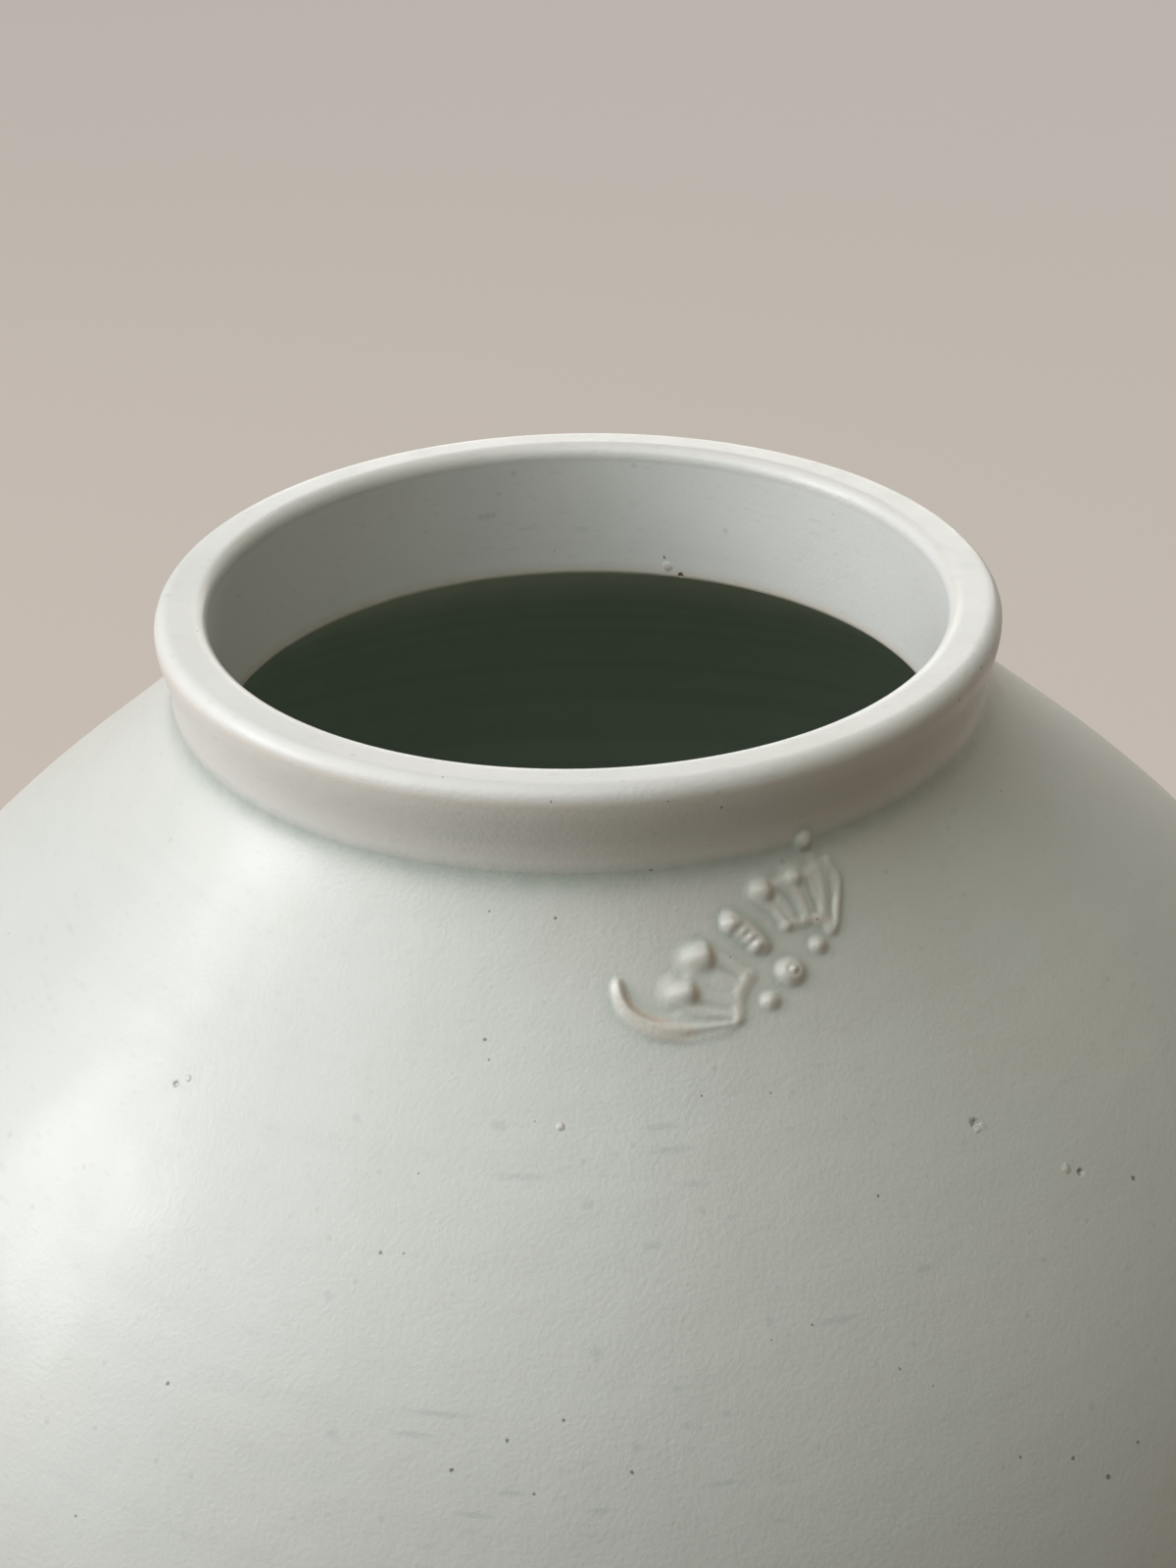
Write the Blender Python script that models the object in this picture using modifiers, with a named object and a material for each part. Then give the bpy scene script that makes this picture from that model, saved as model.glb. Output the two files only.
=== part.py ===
"""Moon jar: a tall-shouldered white porcelain storage jar, built from its separately made pieces.

Two thrown bowls are joined mouth to mouth at the waist with a band of slip. A foot ring sits under
the lower bowl, a collar with a rounded lip drops into the upper bowl, and a bat in low relief is
laid over the front of the shoulder, its right wing bending up on to the neck.
Lengths are metres. +Z is up, the jar's front faces -Y, and the origin is the middle of the foot.
"""
import math

import bmesh
import bpy
from mathutils import Matrix, Vector

# Jar
JAR_HEIGHT = 0.432
BELLY_RADIUS = 0.221
BELLY_HEIGHT = 0.210
WALL = 0.009
FLOOR_THICKNESS = 0.011

# Shoulder: the outline is steep under the neck, easiest at the saddle, then rolls into the belly
SADDLE_RADIUS = 0.1337
SADDLE_DEPTH = 0.0587
SADDLE_SLOPE = math.radians(39.5)
FLARE_PULL_SHARES = (0.145, 0.23)
SHOULDER_PULL_SHARES = (0.34, 0.42)

# Lower half
FOOT_SLOPE = math.radians(31)
LOWER_PULL_SHARES = (0.47, 0.34)
INNER_FLOOR_SHARE = 0.75

# Neck collar
NECK_RADIUS = 0.0974
NECK_HEIGHT = 0.021
NECK_DEPTH = 0.0374
NECK_WALL = 0.010
NECK_HOLLOW = 0.0005
NECK_PULL_SHARES = (0.30, 0.45)
SPIGOT_WALL = 0.0051
LIP_OVERHANG = 0.0026
LIP_ROUND = 0.0039
LIP_INNER_ROUND = 0.0034
MOUTH_FLARE = 0.0002

# Foot ring
FOOT_RADIUS = 0.080
FOOT_HEIGHT = 0.014
FOOT_WIDTH = 0.013
FOOT_TAPER = 0.0015
FOOT_CHAMFER = 0.0015
RECESS_HEIGHT = 0.008

# Waist joint
WAIST_BEVEL = 0.003
SLIP_THICKNESS = 0.0016

# Clearance between two pieces that touch, and the distance at which points are one
JOINT_GAP = 0.0003
MERGE_DISTANCE = 0.00001

# Bat in relief: its middle on the shoulder, the way its head points, and its build
BAT_AZIMUTH = math.radians(18.7)
BAT_ARC = 0.016
BAT_LEAN = math.radians(-52.7)
WING_REACH = 0.028
BODY_LENGTH = 0.0125
BODY_WIDTH = 0.0062
BODY_HEIGHT = 0.0023
BODY_RIB_RADIUS = 0.0011
HEAD_RADIUS = 0.0033
HEAD_HEIGHT = 0.0022
HEAD_REACH = 0.0121
BEAD_RADIUS = 0.0012
BEAD_SHIFT = 0.0004
PEARL_RADIUS = 0.0019
PEARL_HEIGHT = 0.0016
FINGER_HEIGHT = 0.0026
RIDGE_RADIUS = 0.0014
WEB_HEIGHT = 0.0013

# Places on the bat as (towards the head, towards the right wing), in shares of one wing's reach.
# Each web is a place and its half size.
BODY_RIB_SHARES = (-0.36, -0.12, 0.12, 0.36)
PEARL_SHARES = {"left_pearl": (0.446, -0.296), "right_pearl": (0.479, 0.279)}
LEFT_TIP_SHARE = (-0.414, -0.964)
LEFT_EDGE_SHARES = (LEFT_TIP_SHARE, (-0.30, -1.00), (-0.15, -1.00), (0.00, -0.97), (0.10, -0.91),
                    (0.20, -0.82), (0.27, -0.71), (0.33, -0.60), (0.38, -0.56))
LEFT_INNER_SHARES = ((0.38, -0.56), (0.33, -0.49), (0.29, -0.41), (0.25, -0.33), (0.24, -0.24))
LEFT_FINGER_SHARES = (((-0.154, -0.379), (0.00, -0.31), (0.11, -0.28), (0.24, -0.25)),
                      ((-0.054, -0.654), (0.09, -0.61), (0.22, -0.57), (0.36, -0.55)),
                      ((0.03, -0.47), (0.12, -0.43), (0.20, -0.39), (0.29, -0.41)))
LEFT_WEB_SHARES = (((0.13, -0.36), (0.20, 0.20)), ((0.14, -0.56), (0.25, 0.22)),
                   ((0.17, -0.72), (0.18, 0.15)))
RIGHT_TIP_SHARE = (-0.046, 0.896)
RIGHT_EDGE_SHARES = (RIGHT_TIP_SHARE, (0.08, 0.90), (0.19, 0.88), (0.34, 0.82), (0.45, 0.71),
                     (0.53, 0.56), (0.53, 0.46))
RIGHT_INNER_SHARES = ((0.53, 0.46), (0.43, 0.46), (0.33, 0.40), (0.22, 0.28))
RIGHT_FINGER_SHARES = (((-0.086, 0.346), (0.04, 0.32), (0.13, 0.28), (0.22, 0.28)),
                       ((0.075, 0.618), (0.16, 0.53), (0.24, 0.46), (0.33, 0.40)),
                       ((0.20, 0.82), (0.28, 0.69), (0.36, 0.58), (0.43, 0.46)))
RIGHT_WEB_SHARES = (((0.12, 0.38), (0.20, 0.16)), ((0.24, 0.52), (0.22, 0.20)),
                    ((0.37, 0.65), (0.24, 0.26)))

# Thickness of the ridges along their run, and of the balls on them, in shares of the ridge radius
EDGE_END_SHARE = 0.75
EDGE_SWELL_SHARE = 1.25
INNER_EDGE_SHARE = 0.85
FINGER_TAPER_SHARES = (1.0, 0.9, 0.8, 0.75)
TIP_BALL_SHARES = (1.5, 1.5, 1.3)
KNUCKLE_WIDTH_SHARE = 1.15
KNUCKLE_COUNT = 2

# How finely round shapes are divided
TURN_STEPS = 72
BALL_SEGMENTS = 14
BALL_RINGS = 8
RIDGE_RESOLUTION = 2
SHARP_ANGLE = math.radians(35)

# Worked out from the sizes above
SEAT_HEIGHT = JAR_HEIGHT - NECK_HEIGHT
NECK_BOTTOM = JAR_HEIGHT - NECK_DEPTH
BORE_RADIUS = NECK_RADIUS - NECK_WALL
SPIGOT_RADIUS = BORE_RADIUS + SPIGOT_WALL
RIM_RADIUS = NECK_RADIUS + LIP_OVERHANG
MOUTH_RADIUS = BORE_RADIUS + MOUTH_FLARE
HALF_JOINT = SLIP_THICKNESS / 2 + JOINT_GAP
BASE_SPIGOT_RADIUS = FOOT_RADIUS - FOOT_WIDTH - JOINT_GAP
FLOOR_HEIGHT = RECESS_HEIGHT + FLOOR_THICKNESS
BODY_RIB_REACH = BODY_WIDTH / 2 - BODY_RIB_RADIUS


# Outlines, as (radius, height) points that run from the top down

def bezier(start, start_pull, end_pull, end, count):
    """Points of a cubic curve, both ends included."""
    points = []
    for i in range(count + 1):
        t = i / count
        weights = ((1 - t) ** 3, 3 * (1 - t) ** 2 * t, 3 * (1 - t) * t ** 2, t ** 3)
        corners = (start, start_pull, end_pull, end)
        points.append(tuple(sum(w * c[k] for w, c in zip(weights, corners)) for k in (0, 1)))
    return points


def curve_between(start, start_angle, end, end_angle, pull_shares, count):
    """A cubic curve whose ends run down at the given angles below the outward level."""
    chord = math.dist(start, end)
    pulls = []
    for point, angle, share in ((start, start_angle, pull_shares[0]), (end, end_angle, -pull_shares[1])):
        reach = share * chord
        pulls.append((point[0] + reach * math.cos(angle), point[1] - reach * math.sin(angle)))
    return bezier(start, pulls[0], pulls[1], end, count)


def offset_line(points, distance):
    """The same line moved square to itself towards the jar's inside."""
    moved = []
    for i, (radius, height) in enumerate(points):
        before, after = points[max(i - 1, 0)], points[min(i + 1, len(points) - 1)]
        along = Vector((after[0] - before[0], after[1] - before[1])).normalized()
        moved.append((radius + along.y * distance, height - along.x * distance))
    return moved


def arc_points(centre, radius, start_angle, end_angle, count):
    """Points of a round corner."""
    step = (end_angle - start_angle) / count
    angles = [start_angle + step * i for i in range(count + 1)]
    return [(centre[0] + radius * math.cos(a), centre[1] + radius * math.sin(a)) for a in angles]


DOWN = math.pi / 2
SADDLE = (SADDLE_RADIUS, JAR_HEIGHT - SADDLE_DEPTH)


def neck_line():
    """Outside of the neck, from under the lip's round to the collar's seat, slightly hollow."""
    top = (RIM_RADIUS, JAR_HEIGHT - LIP_ROUND)
    bottom = (NECK_RADIUS, SEAT_HEIGHT)
    drop = top[1] - bottom[1]
    top_pull = (RIM_RADIUS, top[1] - NECK_PULL_SHARES[0] * drop)
    bottom_pull = (NECK_RADIUS - NECK_HOLLOW, bottom[1] + NECK_PULL_SHARES[1] * drop)
    return bezier(top, top_pull, bottom_pull, bottom, 6)


def flare_line():
    """From the neck's foot to the saddle of the shoulder."""
    start = (NECK_RADIUS, SEAT_HEIGHT - JOINT_GAP)
    return curve_between(start, DOWN, SADDLE, SADDLE_SLOPE, FLARE_PULL_SHARES, 8)


def shoulder_line():
    """From the saddle to the widest part of the belly."""
    end = (BELLY_RADIUS, BELLY_HEIGHT + HALF_JOINT)
    return curve_between(SADDLE, SADDLE_SLOPE, end, DOWN, SHOULDER_PULL_SHARES, 10)


def lower_line():
    """From the belly to the top of the foot ring."""
    start = (BELLY_RADIUS, BELLY_HEIGHT - HALF_JOINT)
    end = (FOOT_RADIUS, FOOT_HEIGHT + JOINT_GAP)
    return curve_between(start, DOWN, end, math.pi - FOOT_SLOPE, LOWER_PULL_SHARES, 12)


# Objects, materials and collections

def clear_scene():
    for obj in list(bpy.data.objects):
        bpy.data.objects.remove(obj, do_unlink=True)


def new_collection(name):
    collection = bpy.data.collections.new(name)
    bpy.context.scene.collection.children.link(collection)
    return collection


def principled(name, color, roughness):
    material = bpy.data.materials.new(name)
    material.use_nodes = True
    shader = material.node_tree.nodes["Principled BSDF"]
    shader.inputs["Base Color"].default_value = (*color, 1)
    shader.inputs["Roughness"].default_value = roughness
    shader.inputs["Metallic"].default_value = 0
    material.diffuse_color = (*color, 1)
    return material


def new_object(name, mesh, collection):
    obj = bpy.data.objects.new(name, mesh)
    collection.objects.link(obj)
    return obj


def as_cutter(obj):
    obj.hide_render = True
    obj.display_type = 'WIRE'
    return obj


def bake(obj):
    """Replace an object's shape by what its modifiers make of it, shaded smooth except at corners."""
    depsgraph = bpy.context.evaluated_depsgraph_get()
    mesh = bpy.data.meshes.new_from_object(obj.evaluated_get(depsgraph))
    obj.modifiers.clear()
    obj.data = mesh
    mesh.shade_smooth()
    mesh.set_sharp_from_angle(angle=SHARP_ANGLE)
    return obj


def turned(name, profile, collection, closed=True):
    """Turn a profile round the jar's axis. An open profile starts and ends on the axis."""
    bm = bmesh.new()
    verts = [bm.verts.new((radius, 0, height)) for radius, height in profile]
    for a, b in zip(verts, verts[1:]):
        bm.edges.new((a, b))
    if closed:
        bm.edges.new((verts[-1], verts[0]))
    mesh = bpy.data.meshes.new(name)
    bm.to_mesh(mesh)
    bm.free()
    obj = new_object(name, mesh, collection)
    screw = obj.modifiers.new("Turn", 'SCREW')
    screw.steps = TURN_STEPS
    screw.render_steps = TURN_STEPS
    screw.use_merge_vertices = True
    screw.merge_threshold = MERGE_DISTANCE
    return bake(obj)


# The jar's own pieces

def make_foot_ring(collection):
    outer_bottom = FOOT_RADIUS - FOOT_TAPER
    inner = FOOT_RADIUS - FOOT_WIDTH
    profile = [(FOOT_RADIUS, FOOT_HEIGHT),
               (outer_bottom, FOOT_CHAMFER),
               (outer_bottom - FOOT_CHAMFER, 0),
               (inner + FOOT_CHAMFER, 0),
               (inner, FOOT_CHAMFER),
               (inner, FOOT_HEIGHT)]
    return turned("foot_ring", profile, collection)


def make_lower_bowl(collection):
    outer = lower_line()
    waist_inner = (BELLY_RADIUS - WALL, outer[0][1] + WAIST_BEVEL)
    inner = [p for p in offset_line(outer, WALL)[1:-1] if p[1] > FLOOR_HEIGHT + WALL]
    floor_edge = (inner[-1][0] * INNER_FLOOR_SHARE, FLOOR_HEIGHT)
    corner = (inner[-1][0] - (inner[-1][1] - FLOOR_HEIGHT) / math.tan(FOOT_SLOPE), FLOOR_HEIGHT)
    rounding = bezier(inner[-1], corner, corner, floor_edge, 5)[1:]
    climb = list(reversed([waist_inner] + inner + rounding))
    profile = [(0, FLOOR_HEIGHT)] + climb + outer
    profile += [(BASE_SPIGOT_RADIUS, FOOT_HEIGHT + JOINT_GAP),
                (BASE_SPIGOT_RADIUS, RECESS_HEIGHT),
                (0, RECESS_HEIGHT)]
    return turned("lower_bowl", profile, collection, closed=False)


def make_waist_slip(collection):
    half = SLIP_THICKNESS / 2
    inner = BELLY_RADIUS - WALL
    profile = [(BELLY_RADIUS, BELLY_HEIGHT + half),
               (BELLY_RADIUS, BELLY_HEIGHT - half),
               (inner, BELLY_HEIGHT - half + WAIST_BEVEL),
               (inner, BELLY_HEIGHT + half + WAIST_BEVEL)]
    return turned("waist_slip", profile, collection)


def make_upper_bowl(collection):
    flare = flare_line()
    shoulder = shoulder_line()
    waist_inner = (BELLY_RADIUS - WALL, shoulder[-1][1] + WAIST_BEVEL)
    inner_shoulder = offset_line(shoulder, WALL)[:-1]
    socket = SPIGOT_RADIUS + JOINT_GAP
    neck_root = (socket, NECK_BOTTOM)
    inner_flare = curve_between(neck_root, SADDLE_SLOPE, inner_shoulder[0], SADDLE_SLOPE,
                                FLARE_PULL_SHARES[::-1], 4)
    climb = list(reversed(inner_flare[:-1] + inner_shoulder + [waist_inner]))
    profile = flare[:-1] + shoulder + climb + [(socket, SEAT_HEIGHT - JOINT_GAP)]
    return turned("upper_bowl", profile, collection)


def make_neck_collar(collection):
    top = JAR_HEIGHT
    inner_round = arc_points((MOUTH_RADIUS + LIP_INNER_ROUND, top - LIP_INNER_ROUND), LIP_INNER_ROUND,
                             math.pi, math.pi / 2, 5)
    outer_round = arc_points((RIM_RADIUS - LIP_ROUND, top - LIP_ROUND), LIP_ROUND, math.pi / 2, 0, 6)
    foot = [(SPIGOT_RADIUS, SEAT_HEIGHT),
            (SPIGOT_RADIUS, NECK_BOTTOM),
            (BORE_RADIUS, NECK_BOTTOM)]
    profile = inner_round + outer_round[:-1] + neck_line() + foot
    return turned("neck_collar", profile, collection)


# The bat: a flat figure carried on to the jar's skin

def skin_line():
    return neck_line() + flare_line() + shoulder_line()[1:]


def skin_lengths(points):
    """Distance down the outline, counted from the neck's foot."""
    lengths = [0]
    for a, b in zip(points, points[1:]):
        lengths.append(lengths[-1] + math.dist(a, b))
    foot = lengths[len(neck_line())]
    return [length - foot for length in lengths]


SKIN = skin_line()
SKIN_LENGTHS = skin_lengths(SKIN)


def skin_at(arc):
    """Radius, height and downward direction of the outline at a distance below the neck's foot."""
    i = 1
    while i < len(SKIN) - 1 and SKIN_LENGTHS[i] < arc:
        i += 1
    start, end = Vector(SKIN[i - 1]), Vector(SKIN[i])
    share = (arc - SKIN_LENGTHS[i - 1]) / (SKIN_LENGTHS[i] - SKIN_LENGTHS[i - 1])
    return start.lerp(end, share), (end - start).normalized()


def on_skin(place, lift=0):
    """Frame of a place on the bat: X towards its head, Y towards its right wing, Z out of the skin."""
    lean = Matrix.Rotation(BAT_LEAN, 2)
    across, up = lean @ Vector(place)
    middle_radius = skin_at(BAT_ARC)[0].x
    azimuth = BAT_AZIMUTH + across / middle_radius
    point, down = skin_at(BAT_ARC - up)
    out = Vector((-down.y, 0, down.x))
    position = Vector((point.x, 0, point.y)) + out * lift
    upward = Vector((-down.x, 0, -down.y))
    sideways = upward.cross(out)
    flat = Matrix((sideways, upward, out)).transposed().to_4x4()
    turn = Matrix.Rotation(azimuth - math.pi / 2, 4, 'Z')
    return turn @ Matrix.Translation(position) @ flat @ Matrix.Rotation(BAT_LEAN, 4, 'Z')


def scaled(share):
    """A place given in shares of one wing's reach."""
    return (share[0] * WING_REACH, share[1] * WING_REACH)


def dome(place, length, width, height, collection, lift=0):
    """An ellipsoid half sunk in the skin: its three half axes run along the bat, across it and out."""
    bm = bmesh.new()
    size = Matrix.Diagonal((length, width, height, 1))
    bmesh.ops.create_uvsphere(bm, u_segments=BALL_SEGMENTS, v_segments=BALL_RINGS, radius=1,
                              matrix=on_skin(place, lift) @ size)
    mesh = bpy.data.meshes.new("dome")
    bm.to_mesh(mesh)
    bm.free()
    return as_cutter(new_object("dome", mesh, collection))


def ridge(places, radii, collection, lift=0):
    """A tapering tube along places on the skin, half sunk in it."""
    data = bpy.data.curves.new("ridge", 'CURVE')
    data.dimensions = '3D'
    data.bevel_depth = RIDGE_RADIUS
    data.bevel_resolution = RIDGE_RESOLUTION
    data.resolution_u = RIDGE_RESOLUTION
    data.render_resolution_u = RIDGE_RESOLUTION
    data.use_fill_caps = True
    spline = data.splines.new('BEZIER')
    spline.bezier_points.add(len(places) - 1)
    for point, place, radius in zip(spline.bezier_points, places, radii):
        point.co = on_skin(place, lift).translation
        point.handle_left_type = 'AUTO'
        point.handle_right_type = 'AUTO'
        point.radius = radius / RIDGE_RADIUS
    curve = new_object("ridge_curve", data, collection)
    depsgraph = bpy.context.evaluated_depsgraph_get()
    mesh = bpy.data.meshes.new_from_object(curve.evaluated_get(depsgraph))
    bm = bmesh.new()
    bm.from_mesh(mesh)
    bmesh.ops.remove_doubles(bm, verts=bm.verts, dist=MERGE_DISTANCE)
    bm.to_mesh(mesh)
    bm.free()
    obj = as_cutter(new_object("ridge", mesh, collection))
    obj.matrix_world = curve.matrix_world
    bpy.data.objects.remove(curve, do_unlink=True)
    return obj


def fused_on_skin(name, shapes, skin_cutter, collection):
    """Join shapes into one piece and cut its back to the jar's skin."""
    piece = new_object(name, shapes[0].data.copy(), collection)
    for shape in shapes[1:]:
        union = piece.modifiers.new("Join", 'BOOLEAN')
        union.operation = 'UNION'
        union.object = shape
    cut = piece.modifiers.new("Seat", 'BOOLEAN')
    cut.operation = 'DIFFERENCE'
    cut.object = skin_cutter
    return bake(piece)


def make_skin_cutter(collection):
    """The jar's outside from the neck down past the bat, one clearance larger than the skin."""
    line = offset_line(skin_line(), -JOINT_GAP)
    profile = [(0, line[0][1])] + line + [(0, line[-1][1])]
    return as_cutter(turned("skin_cutter", profile, collection, closed=False))


def make_bat_body(cutter, shapes, collection):
    parts = [dome((0, 0), BODY_LENGTH / 2, BODY_WIDTH / 2, BODY_HEIGHT, shapes)]
    for share in BODY_RIB_SHARES:
        along = share * BODY_LENGTH
        lift = BODY_HEIGHT * math.sqrt(1 - (2 * share) ** 2) - BODY_RIB_RADIUS / 2
        reach = BODY_RIB_REACH * math.sqrt(1 - (2 * share) ** 2)
        parts.append(dome((along, 0), BODY_RIB_RADIUS, reach + BODY_RIB_RADIUS, BODY_RIB_RADIUS, shapes, lift))
    return fused_on_skin("bat_body", parts, cutter, collection)


def make_bat_head(cutter, shapes, collection):
    bead_place = (HEAD_REACH, BEAD_SHIFT)
    parts = [dome((HEAD_REACH, 0), HEAD_RADIUS, HEAD_RADIUS, HEAD_HEIGHT, shapes),
             dome(bead_place, BEAD_RADIUS, BEAD_RADIUS, BEAD_RADIUS, shapes, HEAD_HEIGHT - BEAD_RADIUS / 3)]
    return fused_on_skin("bat_head", parts, cutter, collection)


def make_pearl(name, cutter, shapes, collection):
    part = dome(scaled(PEARL_SHARES[name]), PEARL_RADIUS, PEARL_RADIUS, PEARL_HEIGHT, shapes)
    return fused_on_skin(name, [part], cutter, collection)


def make_wing(name, tip, edge, inner, fingers, webs, cutter, shapes, collection):
    """A wing: its outer edge with a ball at the tip, its inner edge, three fingers and thin webs."""
    tip_size = [RIDGE_RADIUS * share for share in TIP_BALL_SHARES]
    middle = (len(edge) - 1) / 2
    swell = []
    for index in range(len(edge)):
        fade = abs(index - middle) / middle
        swell.append(RIDGE_RADIUS * (EDGE_SWELL_SHARE + (EDGE_END_SHARE - EDGE_SWELL_SHARE) * fade))
    parts = [ridge([scaled(share) for share in edge], swell, shapes),
             dome(scaled(tip), *tip_size, shapes),
             ridge([scaled(share) for share in inner], [RIDGE_RADIUS * INNER_EDGE_SHARE] * len(inner), shapes)]
    for place, size in webs:
        parts.append(dome(scaled(place), *scaled(size), WEB_HEIGHT, shapes))
    for finger in fingers:
        radii = [RIDGE_RADIUS * share for share in FINGER_TAPER_SHARES]
        parts.append(ridge([scaled(share) for share in finger], radii, shapes))
    for finger in fingers[:KNUCKLE_COUNT]:
        width = FINGER_HEIGHT * KNUCKLE_WIDTH_SHARE
        parts.append(dome(scaled(finger[0]), FINGER_HEIGHT, width, FINGER_HEIGHT, shapes))
    return fused_on_skin(name, parts, cutter, collection)


def main():
    clear_scene()
    jar = new_collection("moon_jar")
    cutters = new_collection("moon_jar_cutters")

    glaze = {"neck_collar": principled("neck_collar_glaze", (0.66, 0.67, 0.62), 0.28),
             "upper_bowl": principled("upper_bowl_glaze", (0.68, 0.70, 0.65), 0.30),
             "lower_bowl": principled("lower_bowl_glaze", (0.67, 0.68, 0.63), 0.30),
             "waist_slip": principled("waist_slip_clay", (0.74, 0.72, 0.66), 0.75),
             "foot_ring": principled("foot_ring_clay", (0.62, 0.56, 0.46), 0.60)}
    makers = (make_foot_ring, make_lower_bowl, make_waist_slip, make_upper_bowl, make_neck_collar)
    for maker in makers:
        piece = maker(jar)
        piece.data.materials.append(glaze[piece.name])

    cutter = make_skin_cutter(cutters)
    bat = [make_bat_body(cutter, cutters, jar), make_bat_head(cutter, cutters, jar)]
    bat += [make_pearl(name, cutter, cutters, jar) for name in PEARL_SHARES]
    bat.append(make_wing("bat_left_wing", LEFT_TIP_SHARE, LEFT_EDGE_SHARES, LEFT_INNER_SHARES,
                         LEFT_FINGER_SHARES, LEFT_WEB_SHARES, cutter, cutters, jar))
    bat.append(make_wing("bat_right_wing", RIGHT_TIP_SHARE, RIGHT_EDGE_SHARES, RIGHT_INNER_SHARES,
                         RIGHT_FINGER_SHARES, RIGHT_WEB_SHARES, cutter, cutters, jar))
    for piece in bat:
        piece.data.materials.clear()
        piece.data.materials.append(principled(piece.name + "_glaze", (0.68, 0.68, 0.62), 0.26))


main()
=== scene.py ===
"""Looks of the moon jar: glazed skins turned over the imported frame, and the bat in soft relief.

The jar's outside is one fine grid, rows down its outline and columns round its axis. Each thrown piece
takes its own rows of that grid, so neighbours share their edges and the glaze runs on without a break.
The bat is worked out as heights over the skin, in millimetres, and each of its pieces takes the cells of
the same grid that it rises from. Other lengths are metres. The jar's front faces -Y.
"""
import math
from functools import cached_property

import bpy
import numpy as np
from mathutils import Matrix, Vector
from mathutils.bvhtree import BVHTree


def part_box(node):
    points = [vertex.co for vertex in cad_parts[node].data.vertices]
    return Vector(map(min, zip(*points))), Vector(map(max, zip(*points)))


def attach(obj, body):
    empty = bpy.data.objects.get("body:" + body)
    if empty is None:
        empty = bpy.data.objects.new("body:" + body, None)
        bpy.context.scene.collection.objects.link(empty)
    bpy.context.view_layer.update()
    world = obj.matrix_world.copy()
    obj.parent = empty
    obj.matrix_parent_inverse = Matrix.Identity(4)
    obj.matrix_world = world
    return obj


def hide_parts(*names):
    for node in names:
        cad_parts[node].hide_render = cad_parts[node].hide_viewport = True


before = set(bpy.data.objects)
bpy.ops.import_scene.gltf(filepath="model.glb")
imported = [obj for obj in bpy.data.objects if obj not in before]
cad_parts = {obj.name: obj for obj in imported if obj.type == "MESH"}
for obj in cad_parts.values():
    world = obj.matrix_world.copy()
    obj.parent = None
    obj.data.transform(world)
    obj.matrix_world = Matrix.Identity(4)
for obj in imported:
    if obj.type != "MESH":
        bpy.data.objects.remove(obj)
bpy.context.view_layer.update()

MM = 0.001
TINY = 0.000001

# The frame's own heights and radii
RIM_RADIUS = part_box("neck_collar")[1].x
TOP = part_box("neck_collar")[1].z
NECK_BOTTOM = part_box("neck_collar")[0].z
BELLY_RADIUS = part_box("waist_slip")[1].x
FOOT_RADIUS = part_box("foot_ring")[1].x
FOOT_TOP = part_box("foot_ring")[1].z
WAIST_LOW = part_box("lower_bowl")[1].z - 0.003
WAIST_HIGH = WAIST_LOW + 0.0022

# Outline, as in the frame
SADDLE_RADIUS = 0.1337
SADDLE_HEIGHT = TOP - 0.0587
SADDLE_SLOPE = math.radians(39.5)
FLARE_PULLS = (0.145, 0.23)
SHOULDER_PULLS = (0.34, 0.42)
FOOT_SLOPE = math.radians(31)
LOWER_PULLS = (0.47, 0.34)
NECK_RADIUS = 0.0974
NECK_FOOT = TOP - 0.021
NECK_HOLLOW = 0.0005
NECK_PULLS = (0.30, 0.45)
LIP_ROUND = 0.0039
LIP_INNER_ROUND = 0.0034
MOUTH_RADIUS = 0.0876
BORE_RADIUS = 0.0874
BORE_END_ROUND = 0.0016
SPIGOT_RADIUS = 0.0925
WALL = 0.009
FLOOR_HEIGHT = 0.019
RECESS_HEIGHT = 0.008
FOOT_WIDTH = 0.013
FOOT_ROUND = 0.0022
FOOT_TAPER = 0.0015
INNER_FLOOR_SHARE = 0.75

# Bat: where its middle lies and the way its head points
BAT_AZIMUTH = math.radians(18.6)
BAT_ARC = 0.0165
BAT_RADIUS = 0.10624
BAT_LEAN = math.radians(-52.7)

# How finely the grid is divided, down the outline and round the jar
FINE_ROW = 0.00035
COARSE_ROW = 0.0028
LIP_ROW = 0.0005
FINE_COLUMN = math.radians(0.19)
COARSE_COLUMN = math.radians(2.2)
GROWTH = 1.18
BAT_SECTOR = (math.radians(1.0), math.radians(36.5))
BAT_ROWS = (-0.0055, 0.0415)
SHARP_ANGLE = math.radians(40)

# Where a piece of the bat ends, and how deep its back lies
UNDER_SKIN = 0.000005
BACK_DEPTH = 0.0003

# The hollows that the hand leaves in a thrown wall, and the pitch of its finger rings
OVAL_HOLLOW = 0.30 * MM
SLOW_HOLLOW = 0.25 * MM
RING_HOLLOW = 0.035 * MM
RING_PITCH = 0.0105
HOLLOW_FADE = 0.02

# Shares of the painted light and shade inside: the lighter bore, and from the roof down a painted lit band
# that fades into painted shade
BORE_SHARE = 0.15
ROOF_SHARE = 0.35
ROOF_FADE = 0.03


# Outlines, as arrays of (radius, height) that run from the top down

def bezier(corners, count):
    t = np.linspace(0, 1, count + 1)[:, None]
    a, b, c, d = (np.array(corner, float) for corner in corners)
    return (1 - t) ** 3 * a + 3 * (1 - t) ** 2 * t * b + 3 * (1 - t) * t ** 2 * c + t ** 3 * d


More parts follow.
